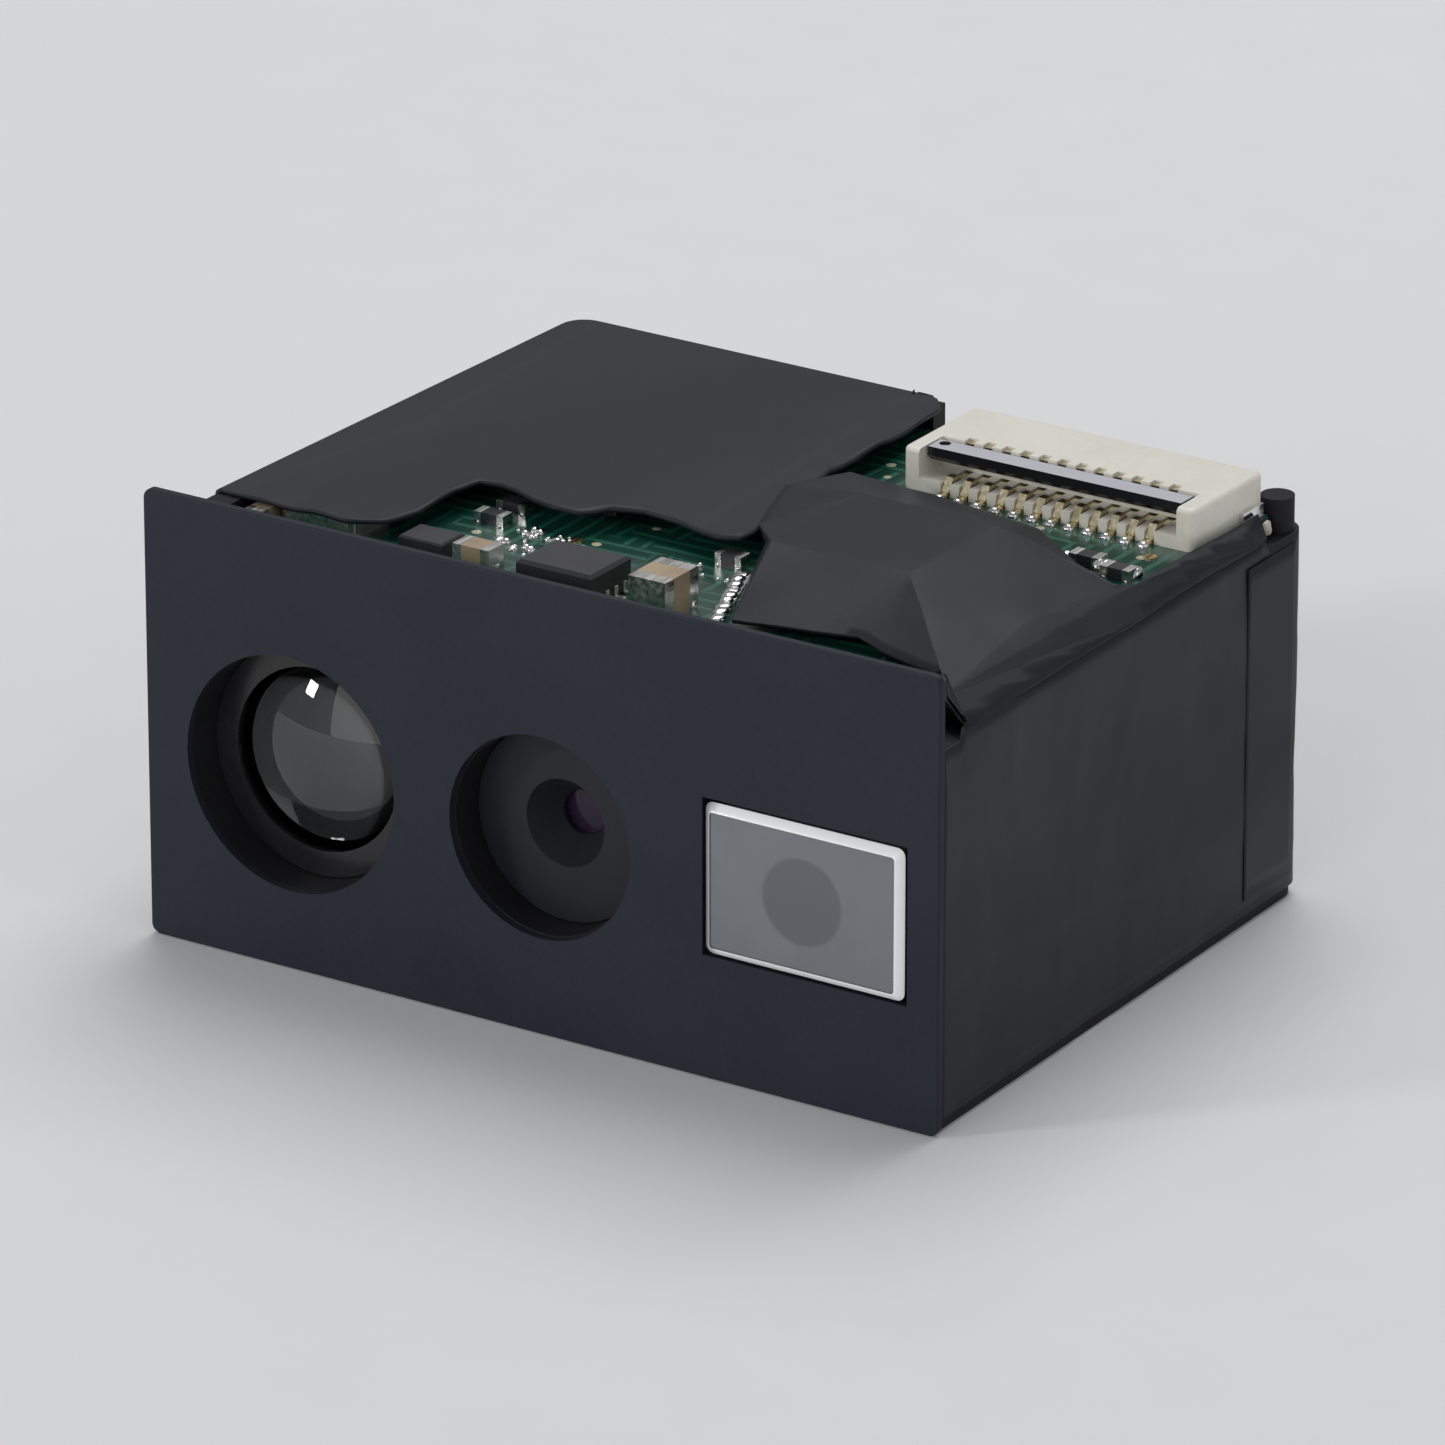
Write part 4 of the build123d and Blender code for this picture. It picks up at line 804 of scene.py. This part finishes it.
def rim_colour(tree, where, cloud):
    """White ground bevel, duller on the left as painted shade."""
    x = put(tree, "ShaderNodeSeparateXYZ", {"Vector": where}).outputs["X"]
    # painted shade: the left part of the bevel is blended to dark grey
    left = spread(tree, x, (WINDOW_LOW.x + 0.1) * MM, (WINDOW_LOW.x + 0.4) * MM, 1.0, 0.0)
    white = blend(tree, cloud, (0.93, 0.94, 0.95, 1.0), (0.98, 0.98, 0.98, 1.0))
    return blend(tree, left, white, (0.28, 0.29, 0.31, 1.0))


def frosted_block():
    """The window's body, frosted right behind its clear front."""
    half_x, half_z = WINDOW_HALF.x - WINDOW_BEVEL, WINDOW_HALF.z - WINDOW_BEVEL
    front, back = WINDOW_LOW.y - FACE_Y / MM + WINDOW_SKIN, WINDOW_HIGH.y - FACE_Y / MM
    mesh = bmesh.new()
    add_box(mesh, (WINDOW_MIDDLE.x - half_x, front, WINDOW_MIDDLE.z - half_z),
            (WINDOW_MIDDLE.x + half_x, back, WINDOW_MIDDLE.z + half_z))
    bmesh.ops.subdivide_edges(mesh, edges=mesh.edges, cuts=11, use_grid_fill=True)
    data = data_from("window_frost", mesh)
    frost = coloured("Frosted window", frost_colour, 0.3, 0.5, coat=1.0)
    made = piece("window_frost", data, frost, smooth=False)
    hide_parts("window_block")
    return made


def ground_rim():
    """The ground bevel round the window's front, as three rounded rings from its outer edge inwards."""
    def ring(depth, inset, corner):
        """Places round a rounded rectangle, inset from the window's outline."""
        places = []
        for i, (sx, sz) in enumerate([(1, 1), (-1, 1), (-1, -1), (1, -1)]):
            for k in range(5):
                angle = math.pi / 2 * (i + k / 4)
                x = sx * (WINDOW_HALF.x - inset - corner) + corner * math.cos(angle)
                z = sz * (WINDOW_HALF.z - inset - corner) + corner * math.sin(angle)
                places.append(at(WINDOW_MIDDLE.x + x, depth, WINDOW_MIDDLE.z + z))
        return places

    front = WINDOW_LOW.y - FACE_Y / MM
    lift = 0.004              # keeps the bevel clear of the window's own faces
    rings = [ring(front + WINDOW_BEVEL, -lift, 0.2), ring(front + 0.02, WINDOW_BEVEL - 0.02 - lift, 0.1),
             ring(front, WINDOW_BEVEL + 0.03, 0.08)]
    count = len(rings[0])
    points = [point for line in rings for point in line]
    faces = []
    for start in range(0, count * (len(rings) - 1), count):
        for i in range(count):
            after = (i + 1) % count
            faces.append((start + i, start + after, start + count + after, start + count + i))
    data = mesh_of("window_rim", points, faces)
    tidy_mesh(data, 0.001)
    rim = coloured("Ground window bevel, shade painted on left", rim_colour, 0.25, 0.4, coat=0.5)
    return piece("window_rim", data, rim)


frosted_block()
ground_rim()


# ---- Floor, lamps and camera ---------------------------------------------------------------------------
def floor():
    data = mesh_of("floor", [(-2, -2, 0), (2, -2, 0), (2, 2, 0), (-2, 2, 0)], [(0, 1, 2, 3)])
    made = bpy.data.objects.new("floor", data)
    bpy.context.scene.collection.objects.link(made)
    made.location.z = -0.02 * MM
    data.materials.append(plain("Pale floor", (0.8, 0.8, 0.8), (0.78, 0.78, 0.79), (0.6, 0.8), patches=20.0,
                                grain=400.0, bump=0.02))


def softbox(name, place, size, power):
    """A square lamp that faces the module."""
    lamp = bpy.data.lights.new(name, "AREA")
    lamp.shape = "SQUARE"
    lamp.size = size
    lamp.energy = power
    made = bpy.data.objects.new(name, lamp)
    bpy.context.scene.collection.objects.link(made)
    made.location = place
    aim = Vector((0, 0, 5 * MM)) - Vector(place)
    made.rotation_euler = aim.to_track_quat("-Z", "Y").to_euler()


CAMERA_AZIMUTH = math.radians(33.24)
CAMERA_ELEVATION = math.radians(21.9)
CAMERA_DISTANCE = 260
CAMERA_LENS = 282.7
CAMERA_RIGHT, CAMERA_UP = 0.941, 0.532      # how far the aim lies from the middle of the module


def camera():
    azimuth, elevation = CAMERA_AZIMUTH, CAMERA_ELEVATION
    back = Vector((math.sin(azimuth) * math.cos(elevation), -math.cos(azimuth) * math.cos(elevation),
                   math.sin(elevation)))
    right = Vector((math.cos(azimuth), math.sin(azimuth), 0))
    up = back.cross(right)
    lens = bpy.data.cameras.new("camera")
    lens.sensor_width = 36.0
    lens.lens = CAMERA_LENS
    lens.clip_start = 0.01
    made = bpy.data.objects.new("camera", lens)
    bpy.context.scene.collection.objects.link(made)
    place = at(0, 6, 5) + (back * CAMERA_DISTANCE + right * CAMERA_RIGHT + up * CAMERA_UP) * MM
    turn = Matrix((right, up, back)).transposed().to_4x4()
    made.matrix_world = Matrix.Translation(place) @ turn
    bpy.context.scene.camera = made


floor()
softbox("overhead", (-0.03, 0.12, 0.26), 0.2, 0.42)
softbox("front_left", (-0.16, -0.2, 0.095), 0.035, 0.16)
softbox("front_wide", (0.02, -0.3, 0.1), 0.25, 0.24)
softbox("right_side", (0.28, -0.02, 0.12), 0.2, 0.07)
world = bpy.data.worlds.new("room")
world.use_nodes = True
world.node_tree.nodes["Background"].inputs["Color"].default_value = (0.9, 0.92, 0.95, 1.0)
world.node_tree.nodes["Background"].inputs["Strength"].default_value = 0.3
bpy.context.scene.world = world
camera()
bpy.context.scene.view_settings.view_transform = "Standard"
